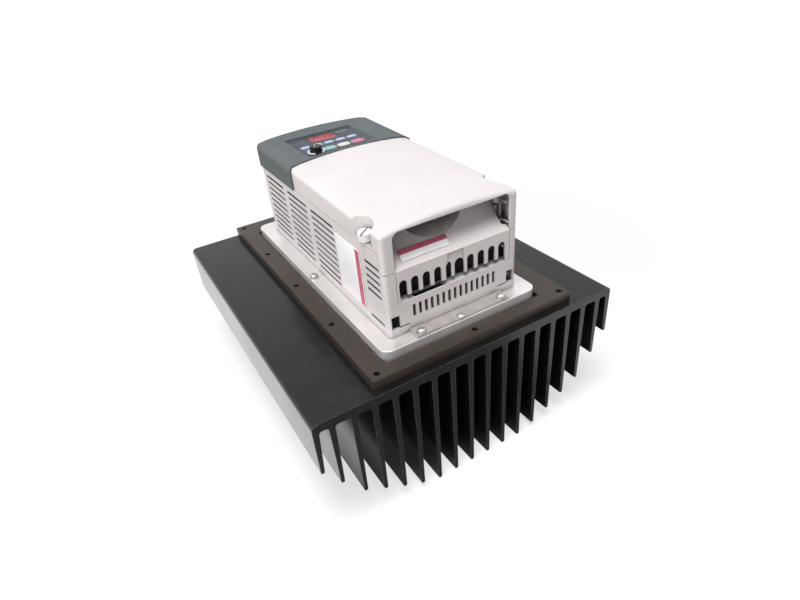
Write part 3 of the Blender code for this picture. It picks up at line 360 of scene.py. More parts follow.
def paint_nodes(material, *names):
    """Gives carried-over nodes a finish through their material slots."""
    for name in names:
        node = NODES[name]
        if not node.material_slots:
            node.data.materials.append(material)
        for held in node.material_slots:
            held.material = material


# ---------------------------------------------------------------- modelling


def start(kind, name, **settings):
    """Adds a primitive at its place with nothing else selected, and opens it for editing."""
    bpy.ops.object.select_all(action="DESELECT")
    getattr(bpy.ops.mesh, "primitive_" + kind + "_add")(**settings)
    piece = bpy.context.object
    piece.name = name
    bpy.ops.object.transform_apply(location=True, rotation=True, scale=True)
    bpy.ops.object.mode_set(mode="EDIT")
    return piece


def pick(piece, kind, test):
    """Selects only the vertices, edges or faces of the open piece that pass a test."""
    bpy.ops.mesh.select_mode(type=kind)
    bpy.ops.mesh.select_all(action="DESELECT")
    bm = bmesh.from_edit_mesh(piece.data)
    for item in {"VERT": bm.verts, "EDGE": bm.edges, "FACE": bm.faces}[kind]:
        item.select_set(bool(test(item)))
    bm.select_flush_mode()
    bmesh.update_edit_mesh(piece.data)


def close(piece, body, material, slot, *nodes, angle=35):
    """Closes the open piece, smooths it, gives it its finish and hangs it on its body."""
    bpy.ops.mesh.select_all(action="SELECT")
    bpy.ops.mesh.normals_make_consistent(inside=False)
    bpy.ops.object.mode_set(mode="OBJECT")
    bpy.ops.object.shade_smooth_by_angle(angle=math.radians(angle))
    piece.data.materials.append(material)
    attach(piece, body)
    if nodes:
        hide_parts(*nodes)
    return piece


LEVEL = 1e-6  # closer than this, two places count as one


def runs_along(axis):
    """A test for edges that run along an axis."""
    others = [n for n in range(3) if n != axis]
    return lambda edge: all(abs(edge.verts[0].co[n] - edge.verts[1].co[n]) < LEVEL for n in others)


def level_with(axis, level):
    """A test for edges, faces or vertices that lie wholly at a level of an axis."""

    def test(item):
        corners = getattr(item, "verts", None) or [item]
        return all(abs(corner.co[axis] - level) < LEVEL for corner in corners)

    return test


def slab(name, low, high, corner, edge, axis=2, outer=1, steps=5):
    """A thin plate with round corners and a soft rim round its outer face, left open for more work."""
    low, high = Vector(low), Vector(high)
    piece = start("cube", name, size=1.0, location=(low + high) / 2, scale=high - low)
    if corner:
        pick(piece, "EDGE", runs_along(axis))
        bpy.ops.mesh.bevel(offset=corner, segments=steps, affect="EDGES")
    if edge:
        pick(piece, "EDGE", level_with(axis, high[axis] if outer > 0 else low[axis]))
        bpy.ops.mesh.bevel(offset=edge, segments=2, affect="EDGES")
    return piece


def join(name, pieces):
    """Makes closed pieces one object."""
    bpy.ops.object.select_all(action="DESELECT")
    for piece in pieces:
        piece.select_set(True)
    bpy.context.view_layer.objects.active = pieces[0]
    bpy.ops.object.join()
    joined = bpy.context.object
    joined.name = name
    bpy.ops.object.mode_set(mode="EDIT")
    return joined


def shut(piece):
    """Closes an open piece that is joined to others later."""
    bpy.ops.object.mode_set(mode="OBJECT")
    return piece


# ---------------------------------------------------------------- settings


def colour_prop(name, description, default):
    """A colour that a user may change."""
    return bpy.props.FloatVectorProperty(
        name=name, description=description, default=default, subtype="COLOR", size=3, min=0.0, max=1.0
    )


def size_prop(name, description, default):
    """A length that a user may change."""
    return bpy.props.FloatProperty(
        name=name, description=description, default=default, min=0.0, unit="LENGTH"
    )


def strength_prop(name, description, default, **more):
    """The strength of a light or a glow, which a user may change."""
    return bpy.props.FloatProperty(name=name, description=description, default=default, min=0.0, **more)


class DrivePlasticSettings(bpy.types.PropertyGroup):
    """Colours of the moulded pieces."""

    body: colour_prop("Body", "Warm white of the housing, cover and guard", (0.775, 0.736, 0.727))
    head: colour_prop("Head", "Slate grey of the keypad head", (0.150, 0.170, 0.175))
    panel: colour_prop("Panel", "Dark blue-grey of the keypad panel", (0.016, 0.022, 0.040))
    knob: colour_prop("Knob", "Black of the speed knob", (0.012, 0.012, 0.013))
    screws: colour_prop("Cover screws", "White of the two cover screws", (0.86, 0.845, 0.83))
    lens: colour_prop("Lens", "Olive of the lens beside the display", (0.07, 0.075, 0.045))
    grain: size_prop("Grain", "Depth of the mould's stipple", 0.02 * MM)


class DriveMetalSettings(bpy.types.PropertyGroup):
    """Colours of the metal pieces."""

    sink: colour_prop("Heat sink", "Black anodising of the heat sink", (0.007, 0.0073, 0.0076))
    adapter: colour_prop("Adapter frame", "Brown-black anodising of the adapter frame", (0.034, 0.024, 0.018))
    plate: colour_prop("Base plate", "Bare aluminium of the base plate", (0.80, 0.78, 0.77))
    steel: colour_prop("Steel", "Plated steel of the screws", (0.66, 0.64, 0.62))
    zinc: colour_prop("Zinc", "Zinc plating of the inner chassis", (0.60, 0.57, 0.56))


class DriveKeypadSettings(bpy.types.PropertyGroup):
    """Colours and sizes of the keys, the display and the knob's scale."""

    blue: colour_prop("Blue keys", "Pale blue of the five upper keys", (0.50, 0.60, 0.84))
    green: colour_prop("Green key", "Green of the start key", (0.28, 0.60, 0.50))
    white: colour_prop("White key", "White of the reverse key", (0.72, 0.71, 0.70))
    red: colour_prop("Red key", "Red of the stop key", (0.72, 0.20, 0.31))
    rim: colour_prop("Key rims", "Pale print round the keys", (0.50, 0.56, 0.68))
    window: colour_prop("Display window", "Deep red of the unlit window", (0.20, 0.030, 0.040))
    bars: colour_prop("Lit bars", "Red of the display's lit bars", (0.62, 0.10, 0.10))
    glow: strength_prop("Glow", "Light of the display's bars", 0.22)
    crown: size_prop("Key crown", "Rise of a key's rounded top", 0.3 * MM)
    rim_reach: size_prop("Rim reach", "How far a rim reaches past its key", 0.75 * MM)
    rim_height: size_prop("Rim height", "How far a rim stands above the panel", 0.15 * MM)
    bar_width: size_prop("Bar width", "Width of one lit bar", 1.1 * MM)
    scale_width: size_prop("Scale width", "Width of the pale band round the knob", 1.7 * MM)


class DriveLabelSettings(bpy.types.PropertyGroup):
    """Colours and sizes of the blank labels."""

    film: colour_prop("Film", "White of the label film", (0.92, 0.915, 0.91))
    band: colour_prop("Side band", "Red of the side label's band", (0.68, 0.15, 0.21))
    crimson: colour_prop("Guard band", "Crimson of the guard label's upper part", (0.45, 0.045, 0.11))
    # The film's glow is painted light: the label glows though it is no lamp.
    painted_glow: strength_prop("Painted Glow", "Light that the side label's film gives by itself", 0.13)
    band_inset: size_prop("Band inset", "From the label's front end to its band", 0.9 * MM)
    band_width: size_prop("Band width", "Width of the side label's band", 7.3 * MM)
    band_margin: size_prop("Band margin", "From the band's ends to the label's edges", 1.2 * MM)


class DriveStageSettings(bpy.types.PropertyGroup):
    """The studio round the drive."""

    floor: colour_prop("Floor", "Pale floor", (0.47, 0.44, 0.435))
    floor_size: size_prop("Floor size", "Width of the floor", 30.0)
    key_power: strength_prop("Key light", "Power of the large soft lamp overhead", 27.0, unit="POWER")
    side_power: strength_prop("Side light", "Power of the soft lamp at the left", 9.5, unit="POWER")
    sky: strength_prop("Surround", "Strength of the light that comes from all round", 0.26)


# ---------------------------------------------------------------- operators


class DRIVE_OT_metal_base(bpy.types.Operator):
    """Finish the heat sink, the adapter frame and the base plate"""

    bl_idname = "drive.metal_base"
    bl_label = "Metal Base"

    def execute(self, context):
        metal = context.scene.drive_metal
        black = finish(
            "Black anodised extrusion", metal.sink, 0.19, drift=0.16, drift_scale=9.0, grain=0.000008,
            grain_scale=3000.0, lines=0.00002, lines_scale=420.0, radius=0.0007,
            worn=(0.24, 0.24, 0.245, 1.0), wear=0.6, dust=0.02, specular=0.3,
        )
        paint_nodes(black, "heatsink")
        brown = finish(
            "Brown anodised plate", metal.adapter, 0.42, drift=0.12, drift_scale=11.0, grain=0.00001,
            grain_scale=3400.0, lines=0.00002, lines_scale=700.0, radius=0.0005,
            worn=(0.20, 0.17, 0.15, 1.0), wear=0.5, dust=0.03, specular=0.4,
        )
        paint_nodes(brown, "adapter_frame")
        bright = finish(
            "Bare milled aluminium", metal.plate, 0.36, metallic=0.6, drift=0.05, lines=0.00001,
            lines_scale=1500.0, radius=0.0005, worn=(0.9, 0.9, 0.9, 1.0), wear=0.5, dust=0.04,
        )
        paint_nodes(bright, "base_plate")
        return {"FINISHED"}


class DRIVE_OT_fixings(bpy.types.Operator):
    """Finish the screws, the washers and the chassis"""

    bl_idname = "drive.fixings"
    bl_label = "Fixings"

    def execute(self, context):
        metal = context.scene.drive_metal
        steel = finish(
            "Plated steel", metal.steel, 0.26, metallic=0.95, drift=0.07, drift_scale=90.0,
            grain=0.000006, grain_scale=5200.0, radius=0.0002, worn=(0.9, 0.9, 0.9, 1.0), wear=0.4,
        )
        fixings = [name for name in NODES if name.startswith(("plate_screw", "plate_washer"))]
        paint_nodes(steel, "foot_pin", *fixings)
        zinc = finish(
            "Zinc plated sheet", metal.zinc, 0.4, metallic=0.7, drift=0.1, drift_scale=70.0,
            lines=0.000008, lines_scale=1300.0, radius=0.0003, worn=(0.85, 0.85, 0.85, 1.0), wear=0.4,
            dust=0.05,
        )
        paint_nodes(zinc, "chassis")
        return {"FINISHED"}


class DRIVE_OT_shell(bpy.types.Operator):
    """Finish the housing, the front cover, the terminal guard and the cover screws"""

    bl_idname = "drive.shell"
    bl_label = "Shell"

    def execute(self, context):
        plastic = context.scene.drive_plastic
        # The guard lies deep in the cover's mouth, so the painted shade reaches further out on it.
        for name, depth, nodes in (
            ("Warm white plastic", 20 * MM, ("housing", "front_cover")),
            ("Guard plastic", 70 * MM, ("terminal_guard",)),
        ):
            shell = finish(
                name, plastic.body, 0.46, drift=0.035, drift_scale=12.0, grain=plastic.grain,
                grain_scale=2600.0, radius=0.0005, worn=(0.86, 0.84, 0.82, 1.0), wear=0.4, dust=0.05,
                dust_colour=(0.52, 0.48, 0.44, 1.0), painted_shade=1.0, painted_shade_depth=depth,
            )
            paint_nodes(shell, *nodes)
        # The cover screws get painted shade in their recesses too.
        cap = finish(
            "White screw plastic", plastic.screws, 0.38, drift=0.04, drift_scale=80.0, grain=0.00001,
            grain_scale=4200.0, radius=0.0002, worn=(0.6, 0.58, 0.55, 1.0), wear=0.3, painted_shade=1.0,
            painted_shade_depth=2 * MM,
        )
        paint_nodes(cap, "cover_screw_left", "cover_screw_right")
        return {"FINISHED"}


class DRIVE_OT_keypad_head(bpy.types.Operator):
    """Finish the keypad head, its panel and the lens beside the display"""

    bl_idname = "drive.keypad_head"
    bl_label = "Keypad Head"

    def execute(self, context):
        plastic = context.scene.drive_plastic
        # The head gets painted shade in its trough and corners, towards a dark slate.
        slate = finish(
            "Slate grey plastic", plastic.head, 0.55, drift=0.06, drift_scale=16.0, grain=plastic.grain,
            grain_scale=2600.0, radius=0.0006, worn=(0.24, 0.26, 0.26, 1.0), wear=0.35, dust=0.03,
            specular=0.02, painted_shade=0.8, painted_shade_depth=12 * MM, painted_shade_colour=(0.035, 0.04, 0.042, 1.0),
        )
        paint_nodes(slate, "keypad_head")
        panel = finish(
            "Panel film", plastic.panel, 0.34, drift=0.08, drift_scale=40.0, grain=0.000006,
            grain_scale=5200.0, radius=0.0002, worn=(0.1, 0.12, 0.16, 1.0), wear=0.2, dust=0.05,
            specular=0.35,
        )
        paint_nodes(panel, "keypad_panel")
        black = finish(
            "Moulded black", plastic.knob, 0.36, drift=0.1, drift_scale=120.0, grain=0.000008,
            grain_scale=4200.0, radius=0.0002, worn=(0.05, 0.05, 0.05, 1.0), wear=0.4, dust=0.04,
            specular=0.35,
        )
        paint_nodes(black, "display_module", "keypad_header", "control_terminals")
        lens = finish(
            "Olive lens", plastic.lens, 0.24, drift=0.12, drift_scale=90.0, grain=0.000002,
            grain_scale=6200.0, radius=0.0002, worn=(0.2, 0.2, 0.1, 1.0), wear=0.1, specular=0.4,
        )
        paint_nodes(lens, "indicator_lens")
        return {"FINISHED"}


PILL = 0.46  # a key's corner radius as a share of its width, a little less than a half circle
KEY_EDGE = 0.35 * MM  # the soft edge round a key's top
CROWN_STEPS = ((0.45 * MM, 0.6), (0.7 * MM, 0.4))  # each step's inset and its share of the rise
RIM_WALL = 0.75  # the rim's width as a share of its reach; the rest is the gap round the key
SAME_SPOT = 0.1 * MM  # a face whose middle is this near to the key's lies over the key


def crowned_key(name, node, material, slot, crown):
    """A pill-shaped rubber key with a crowned top, in the place of its node and on the key's own body."""
    low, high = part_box(node)
    corner = min(high.x - low.x, high.y - low.y) * PILL
    top = high.z - crown
    piece = slab(name, low, (high.x, high.y, top), corner, KEY_EDGE, steps=7)
    for inset, share in CROWN_STEPS:
        rise = share * crown
        pick(piece, "FACE", level_with(2, top))
        bpy.ops.mesh.inset(thickness=inset)
        bpy.ops.transform.translate(value=(0.0, 0.0, rise))
        top += rise
    return close(piece, node, material, slot, node, angle=60)


def key_rim(name, node, reach, stand):
    """The low rim round one key: a pill-shaped ring that the key slides through."""
    low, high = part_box(node)
    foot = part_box("keypad_panel")[1].z
    corner = (min(high.x - low.x, high.y - low.y) + 2 * reach) * PILL
    top = foot + stand
    middle = (low + high) / 2
    piece = slab(name, (low.x - reach, low.y - reach, foot), (high.x + reach, high.y + reach, top), corner, 0)
    for level in (foot, top):
        pick(piece, "FACE", level_with(2, level))
        bpy.ops.mesh.inset(thickness=reach * RIM_WALL)

    def over_key(face):
        spot = face.calc_center_median()
        flat = min(abs(spot.z - foot), abs(spot.z - top)) < LEVEL
        return flat and (spot.xy - middle.xy).length < SAME_SPOT

    pick(piece, "FACE", over_key)
    bpy.ops.mesh.bridge_edge_loops()
    return shut(piece)


class DRIVE_OT_keys(bpy.types.Operator):
    """Make the eight crowned keys and the pale rims round them"""

    bl_idname = "drive.keys"
    bl_label = "Keys"

    def execute(self, context):
        keypad = context.scene.drive_keypad
        pale = finish(
            "Key rim print", keypad.rim, 0.4, drift=0.05, drift_scale=120.0, grain=0.000004,
            grain_scale=4800.0, radius=0.0001, worn=(0.7, 0.72, 0.76, 1.0), wear=0.2,
        )
        rims = []
        for name, colour, slot, keys in (
            ("Blue key rubber", keypad.blue, "key_blue", ("escape", "select", "up", "down", "enter")),
            ("Green key rubber", keypad.green, "key_green", ("start",)),
            ("White key rubber", keypad.white, "key_white", ("reverse",)),
            ("Red key rubber", keypad.red, "key_red", ("stop",)),
        ):
            rubber = finish(
                name, colour, 0.46, drift=0.06, drift_scale=120.0, grain=0.000008, grain_scale=4800.0,
                radius=0.0003, worn=shade(colour, 1.3), wear=0.5, dust=0.03, specular=0.3,
            )
            for key in keys:
                node = "key_" + key
                crowned_key(node + "_cap", node, rubber, slot, keypad.crown)
                rims.append(key_rim(node + "_rim", node, keypad.rim_reach, keypad.rim_height))
        close(join("key_rims", rims), "base", pale, "panel_blue")
        return {"FINISHED"}


READING = "5000"  # the figures that the display shows, with its point behind the second
SEGMENTS = {"0": "abcdef", "5": "acdfg"}  # the bars that each of them lights
BAR_RISE = 0.06 * MM  # how far a lit bar stands above the glass
BAR_GAP = 0.3 * MM  # the gap between two bars' ends
BAR_CORNER = 0.45  # a bar's cut corner as a share of its width
POINT_HALF, POINT_CORNER = 0.6 * MM, 0.5 * MM  # the lit point's half width and corner radius
GLASS_RISE, GLASS_CORNER = 0.15 * MM, 0.8 * MM  # the glass above its node, and its corner radius
FIGURE_WIDTH, FIGURE_HEIGHT = 0.58, 0.56  # a figure as shares of the figures' pitch and the window
FIGURE_FOOT = 0.22  # where the figures stand, as a share of the window's height
FIRST_FIGURE, SPARE_PITCH = 0.68, 0.35  # the first figure's place and the room left over, in pitches


def digit_bars(figure, place, width, height, thick):
    """The lit bars of one figure of a seven-bar display, as low six-sided plates."""
    half_w, half_h = width / 2, height / 2
    spots = {
        "a": (0, half_h * 2, 0), "g": (0, half_h, 0), "d": (0, 0, 0),
        "f": (-half_w, half_h * 1.5, 1), "b": (half_w, half_h * 1.5, 1),
        "e": (-half_w, half_h * 0.5, 1), "c": (half_w, half_h * 0.5, 1),
    }
    bars = []
    for mark in SEGMENTS[figure]:
        across, along, upright = spots[mark]
        half_x = thick / 2 if upright else (width - BAR_GAP) / 2
        half_y = (half_h - BAR_GAP) / 2 if upright else thick / 2
        x, y = place.x + across, place.y + along
        piece = slab(
            "bar_" + mark, (x - half_x, y - half_y, place.z), (x + half_x, y + half_y, place.z + BAR_RISE),
            thick * BAR_CORNER, 0, steps=1,
        )
        bars.append(shut(piece))
    return bars


class DRIVE_OT_display(bpy.types.Operator):
    """Make the red display window and the figures that glow in it"""

    bl_idname = "drive.display"
    bl_label = "Display"

    def execute(self, context):
        keypad = context.scene.drive_keypad
        low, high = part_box("display_window")
        window = finish(
            "Red display window", keypad.window, 0.22, drift=0.1, drift_scale=60.0, grain=0.000002,
            grain_scale=6200.0, radius=0.0002, worn=(0.5, 0.1, 0.1, 1.0), wear=0.1, specular=0.4,
        )
        foot = high.z + GLASS_RISE
        glass = slab("display_glass", low, (high.x, high.y, foot), GLASS_CORNER, GLASS_RISE)
        close(glass, "base", window, "display_red", "display_window")
        glow = finish(
            "Lit red bars", keypad.bars, 0.35, drift=0.05, drift_scale=300.0, grain=0.000002,
            grain_scale=6200.0, radius=0.00005, worn=(0.9, 0.3, 0.25, 1.0), wear=0.1, specular=0.3,
        )
        skin = glow.node_tree.nodes["Principled BSDF"]
        skin.inputs["Emission Color"].default_value = (1.0, 0.10, 0.08, 1.0)
        skin.inputs["Emission Strength"].default_value = keypad.glow
        pitch = (high.x - low.x) / (len(READING) + SPARE_PITCH)
        width, height = pitch * FIGURE_WIDTH, (high.y - low.y) * FIGURE_HEIGHT
        first = Vector((low.x + pitch * FIRST_FIGURE, low.y + (high.y - low.y) * FIGURE_FOOT, foot))
        bars = []
        for number, figure in enumerate(READING):
            place = first + Vector((number * pitch, 0.0, 0.0))
            bars += digit_bars(figure, place, width, height, keypad.bar_width)
        point = first + Vector((1.5 * pitch, 0.0, 0.0))
        reach = Vector((POINT_HALF, POINT_HALF, 0.0))
        point_top = point + reach + Vector((0.0, 0.0, BAR_RISE))
        bars.append(shut(slab("bar_point", point - reach, point_top, POINT_CORNER, 0)))
        close(join("display_figures", bars), "base", glow, "display_red")
        return {"FINISHED"}


KNOB_CLEARANCE = 0.3 * MM  # between the panel and the knob's foot
KNOB_SIDES, KNOB_RIB = 48, 4  # the knob's facets, and how many of them one rib and groove take
GROOVE_SHARE = 0.93  # a groove's radius as a share of the knob's
KNOB_EDGE = 0.5 * MM  # the round edge of the knob's top
CAP_BORDER, CAP_STEP, CAP_SINK = 0.7 * MM, 0.25 * MM, 0.3 * MM  # the sunk disc in the knob's top
# The pointer: half its width, how far from the middle it starts and how far from the edge it ends.
POINTER_HALF, POINTER_START, POINTER_SHORT = 0.4 * MM, 1.2 * MM, 0.9 * MM
# The scale's band: its facets, the angle that it covers and the angle that it is turned by.
SCALE_STEPS, SCALE_SWEEP, SCALE_START = 52, math.radians(300.0), math.radians(120.0)


class DRIVE_OT_knob(bpy.types.Operator):
    """Make the ribbed speed knob, its pointer and the scale round it"""

    bl_idname = "drive.knob"
    bl_label = "Speed Knob"

    def execute(self, context):
        plastic = context.scene.drive_plastic
        low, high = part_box("speed_knob")
        panel_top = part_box("keypad_panel")[1].z
        axis = (low + high) / 2
        radius = (high.x - low.x) / 2
        foot, top = panel_top + KNOB_CLEARANCE, high.z
        black = finish(
            "Knob black", plastic.knob, 0.4, drift=0.1, drift_scale=120.0, grain=0.000008,
            grain_scale=4200.0, radius=0.0002, worn=(0.04, 0.04, 0.04, 1.0), wear=0.4, dust=0.03,
            specular=0.3,
        )
        knob = start(
            "cylinder", "speed_knob_grip", vertices=KNOB_SIDES, radius=radius, depth=top - foot,
            location=(axis.x, axis.y, (foot + top) / 2),
        )
        pick(knob, "EDGE", level_with(2, top))
        bpy.ops.mesh.bevel(offset=KNOB_EDGE, segments=3, affect="EDGES")

        def in_groove(corner):
            spoke = Vector((corner.co.x - axis.x, corner.co.y - axis.y))
            place = round(math.atan2(spoke.y, spoke.x) / math.tau * KNOB_SIDES) % KNOB_RIB
            return spoke.length > radius - 0.05 * MM and place in (1, 2)

        pick(knob, "VERT", in_groove)
        bpy.ops.transform.resize(value=(GROOVE_SHARE, GROOVE_SHARE, 1.0), center_override=axis)
        pick(knob, "FACE", level_with(2, top))
        bpy.ops.mesh.inset(thickness=CAP_BORDER)
        bpy.ops.mesh.inset(thickness=CAP_STEP)
        bpy.ops.transform.translate(value=(0.0, 0.0, -CAP_SINK))
        close(knob, "speed_knob", black, "knob_black", "speed_knob", angle=40)
        white = finish(
            "Dial print", (0.78, 0.79, 0.79), 0.42, drift=0.04, drift_scale=120.0, grain=0.000004,
            grain_scale=4200.0, radius=0.00008, worn=(0.6, 0.6, 0.6, 1.0), wear=0.2,
        )
        pointer = slab(
            "knob_pointer", (axis.x - POINTER_HALF, axis.y + POINTER_START, top - CAP_SINK - 0.15 * MM),
            (axis.x + POINTER_HALF, axis.y + radius - POINTER_SHORT, top - 0.02 * MM), POINTER_HALF / 2,
            POINTER_HALF / 4, steps=3,
        )
        close(pointer, "speed_knob", white, "white_plastic")
        ring_low, ring_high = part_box("knob_scale")
        outer = (ring_high.x - ring_low.x) / 2
        width = context.scene.drive_keypad.scale_width
        middle = Vector((axis.x + outer - width / 2, axis.y, (panel_top + ring_high.z) / 2))
        hub = (axis.x, axis.y, panel_top)
        arc = start("plane", "knob_scale_band", size=1.0, rotation=(math.pi / 2, 0.0, 0.0), location=middle)
        bpy.ops.mesh.select_all(action="SELECT")
        bpy.ops.transform.resize(value=(width, 1.0, ring_high.z - panel_top), center_override=middle)
        bpy.ops.mesh.spin(steps=SCALE_STEPS, angle=SCALE_SWEEP, center=hub, axis=(0.0, 0.0, 1.0))
        bpy.ops.mesh.select_all(action="SELECT")
        bpy.ops.transform.rotate(value=SCALE_START, orient_axis="Z", center_override=hub)
        close(arc, "base", white, "white_plastic", "knob_scale")
        return {"FINISHED"}


FILM_CORNER, FILM_EDGE = 1.6 * MM, 0.08 * MM  # the side label's corner radius and soft edge
BAND_RISE = 0.04 * MM  # how far the band stands out of the film
BAND_CORNER = 0.4 * MM  # the band's corner radius
TWO_TONE_SHARE = 0.6  # the height, as a share of the label's, at which its two tones meet


class DRIVE_OT_labels(bpy.types.Operator):
    """Make the blank side label with its red band, and finish the two-tone label in the guard's mouth"""

    bl_idname = "drive.labels"
    bl_label = "Labels"

    def execute(self, context):
        labels = context.scene.drive_labels
        film = finish(
            "Label film", labels.film, 0.36, drift=0.03, drift_scale=50.0, grain=0.000004,
            grain_scale=5200.0, radius=0.0001, worn=(0.7, 0.7, 0.68, 1.0), wear=0.3,
        )
        # The film glows a little by itself: painted light that makes it brighter than its lighting gives.
        skin = film.node_tree.nodes["Principled BSDF"]
        skin.inputs["Emission Color"].default_value = (1.0, 0.98, 0.99, 1.0)
        skin.inputs["Emission Strength"].default_value = labels.painted_glow
        band = finish(
            "Red label band", labels.band, 0.34, drift=0.05, drift_scale=60.0, grain=0.000004,
            grain_scale=5200.0, radius=0.0001, worn=(0.8, 0.4, 0.42, 1.0), wear=0.3,
        )
        low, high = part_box("side_label")
        sheet = slab("side_label_film", low, high, FILM_CORNER, FILM_EDGE, axis=0, outer=-1)
        close(sheet, "base", film, "label_white", "side_label")
        front = low.y + labels.band_inset
        stripe = slab(
            "side_label_band", (low.x - BAND_RISE, front, low.z + labels.band_margin),
            (low.x + BAND_RISE / 2, front + labels.band_width, high.z - labels.band_margin), BAND_CORNER, 0,
            axis=0, outer=-1,
        )
        close(stripe, "base", band, "label_white")
        two_tone = finish(
            "Two-tone label film", labels.film, 0.3, drift=0.03, drift_scale=50.0, grain=0.000004,
            grain_scale=5200.0, radius=0.0001, worn=(0.7, 0.7, 0.68, 1.0), wear=0.3,
        )
        tree = two_tone.node_tree
        skin = tree.nodes["Principled BSDF"]
        low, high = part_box("guard_label")
        place = tree.nodes.new("ShaderNodeTexCoord").outputs["Object"]
        level = put(tree, "ShaderNodeSeparateXYZ", None, Vector=place).outputs["Z"]
        edge = low.z + (high.z - low.z) * TWO_TONE_SHARE
        blur = 0.04 * MM
        mask = ramp(tree, level, edge - blur, edge + blur)
        plain = skin.inputs["Base Color"].links[0].from_socket
        two_tones = blend_colour(tree, mask, plain, shade(labels.crimson, 1.0))
        tree.links.new(two_tones, skin.inputs["Base Color"])
        paint_nodes(two_tone, "guard_label")
        return {"FINISHED"}


class DRIVE_OT_inner_parts(bpy.types.Operator):
    """Finish the boards, capacitors and terminals inside the housing"""

    bl_idname = "drive.inner_parts"
    bl_label = "Inner Parts"

    def execute(self, context):
        board = finish(
            "Board green", (0.03, 0.14, 0.06), 0.35, drift=0.15, drift_scale=160.0, grain=0.00001,
            grain_scale=3200.0, radius=0.0002, worn=(0.35, 0.3, 0.12, 1.0), wear=0.4, dust=0.1,
        )
        paint_nodes(board, "power_board", "control_board", "keypad_board")
        can = finish(
            "Capacitor sleeve", (0.03, 0.06, 0.16), 0.3, drift=0.1, drift_scale=60.0, grain=0.000006,
            grain_scale=3200.0, radius=0.0003, worn=(0.4, 0.4, 0.42, 1.0), wear=0.3, dust=0.1,
        )
        paint_nodes(can, "bus_capacitor_1", "bus_capacitor_2", "bus_capacitor_3")
        block = finish(
            "Terminal grey", (0.022, 0.019, 0.018), 0.6, drift=0.1, drift_scale=80.0, grain=0.00001,
            grain_scale=3200.0, radius=0.0003, worn=(0.08, 0.075, 0.07, 1.0), wear=0.2, dust=0.02,
            specular=0.1,
        )
        paint_nodes(block, "power_terminals", "power_module", "potentiometer")
        pad = finish(
            "Thermal pad grey", (0.32, 0.32, 0.33), 0.7, drift=0.1, drift_scale=80.0, grain=0.00002,
            grain_scale=1800.0, radius=0.0002, worn=(0.4, 0.4, 0.4, 1.0), wear=0.2,
        )
        paint_nodes(pad, "thermal_pad")
        return {"FINISHED"}


FLOOR_DROP = 0.4 * MM  # the floor lies just below the fin tips
FLOOR_NEAR, FLOOR_FAR, FLOOR_NEAR_GLOW = 0.35, 1.3, 0.62  # the floor grows to plain white between these
PAINTED_REFLECTION_START, PAINTED_REFLECTION_END = 0.11, 0.172  # beside the part's middle, where the floor starts to glow white in reflections: a painted reflection
# Each lamp's place from the part's middle, its height above the floor and its size.
OVERHEAD_OFFSET, OVERHEAD_HEIGHT, OVERHEAD_SIZE = (-0.35, -0.42), 1.8, 0.75
LEFT_OFFSET, LEFT_HEIGHT, LEFT_SIZE = (-1.5, -0.5), 0.4, 0.9
# The camera's lens, its place and the way it is turned.
LENS, SENSOR, NEAR_CLIP = 25.58, 36.0, 0.01
CAMERA_PLACE = (-0.22647, -0.46553, 0.42408)
CAMERA_RIGHT, CAMERA_UP = (0.8524, -0.5166, -0.0813), (0.3441, 0.4371, 0.8309)
CAMERA_BACK = (-0.3937, -0.7363, 0.5504)


def lamp(name, place, target, size, power):
    """A large soft square lamp that looks at a point."""
    data = bpy.data.lights.new(name, "AREA")
    data.shape = "SQUARE"
    data.size = size
    data.energy = power
    made = bpy.data.objects.new(name, data)
    bpy.context.scene.collection.objects.link(made)
    made.location = place
    made.rotation_euler = (Vector(target) - Vector(place)).to_track_quat("-Z", "Y").to_euler()


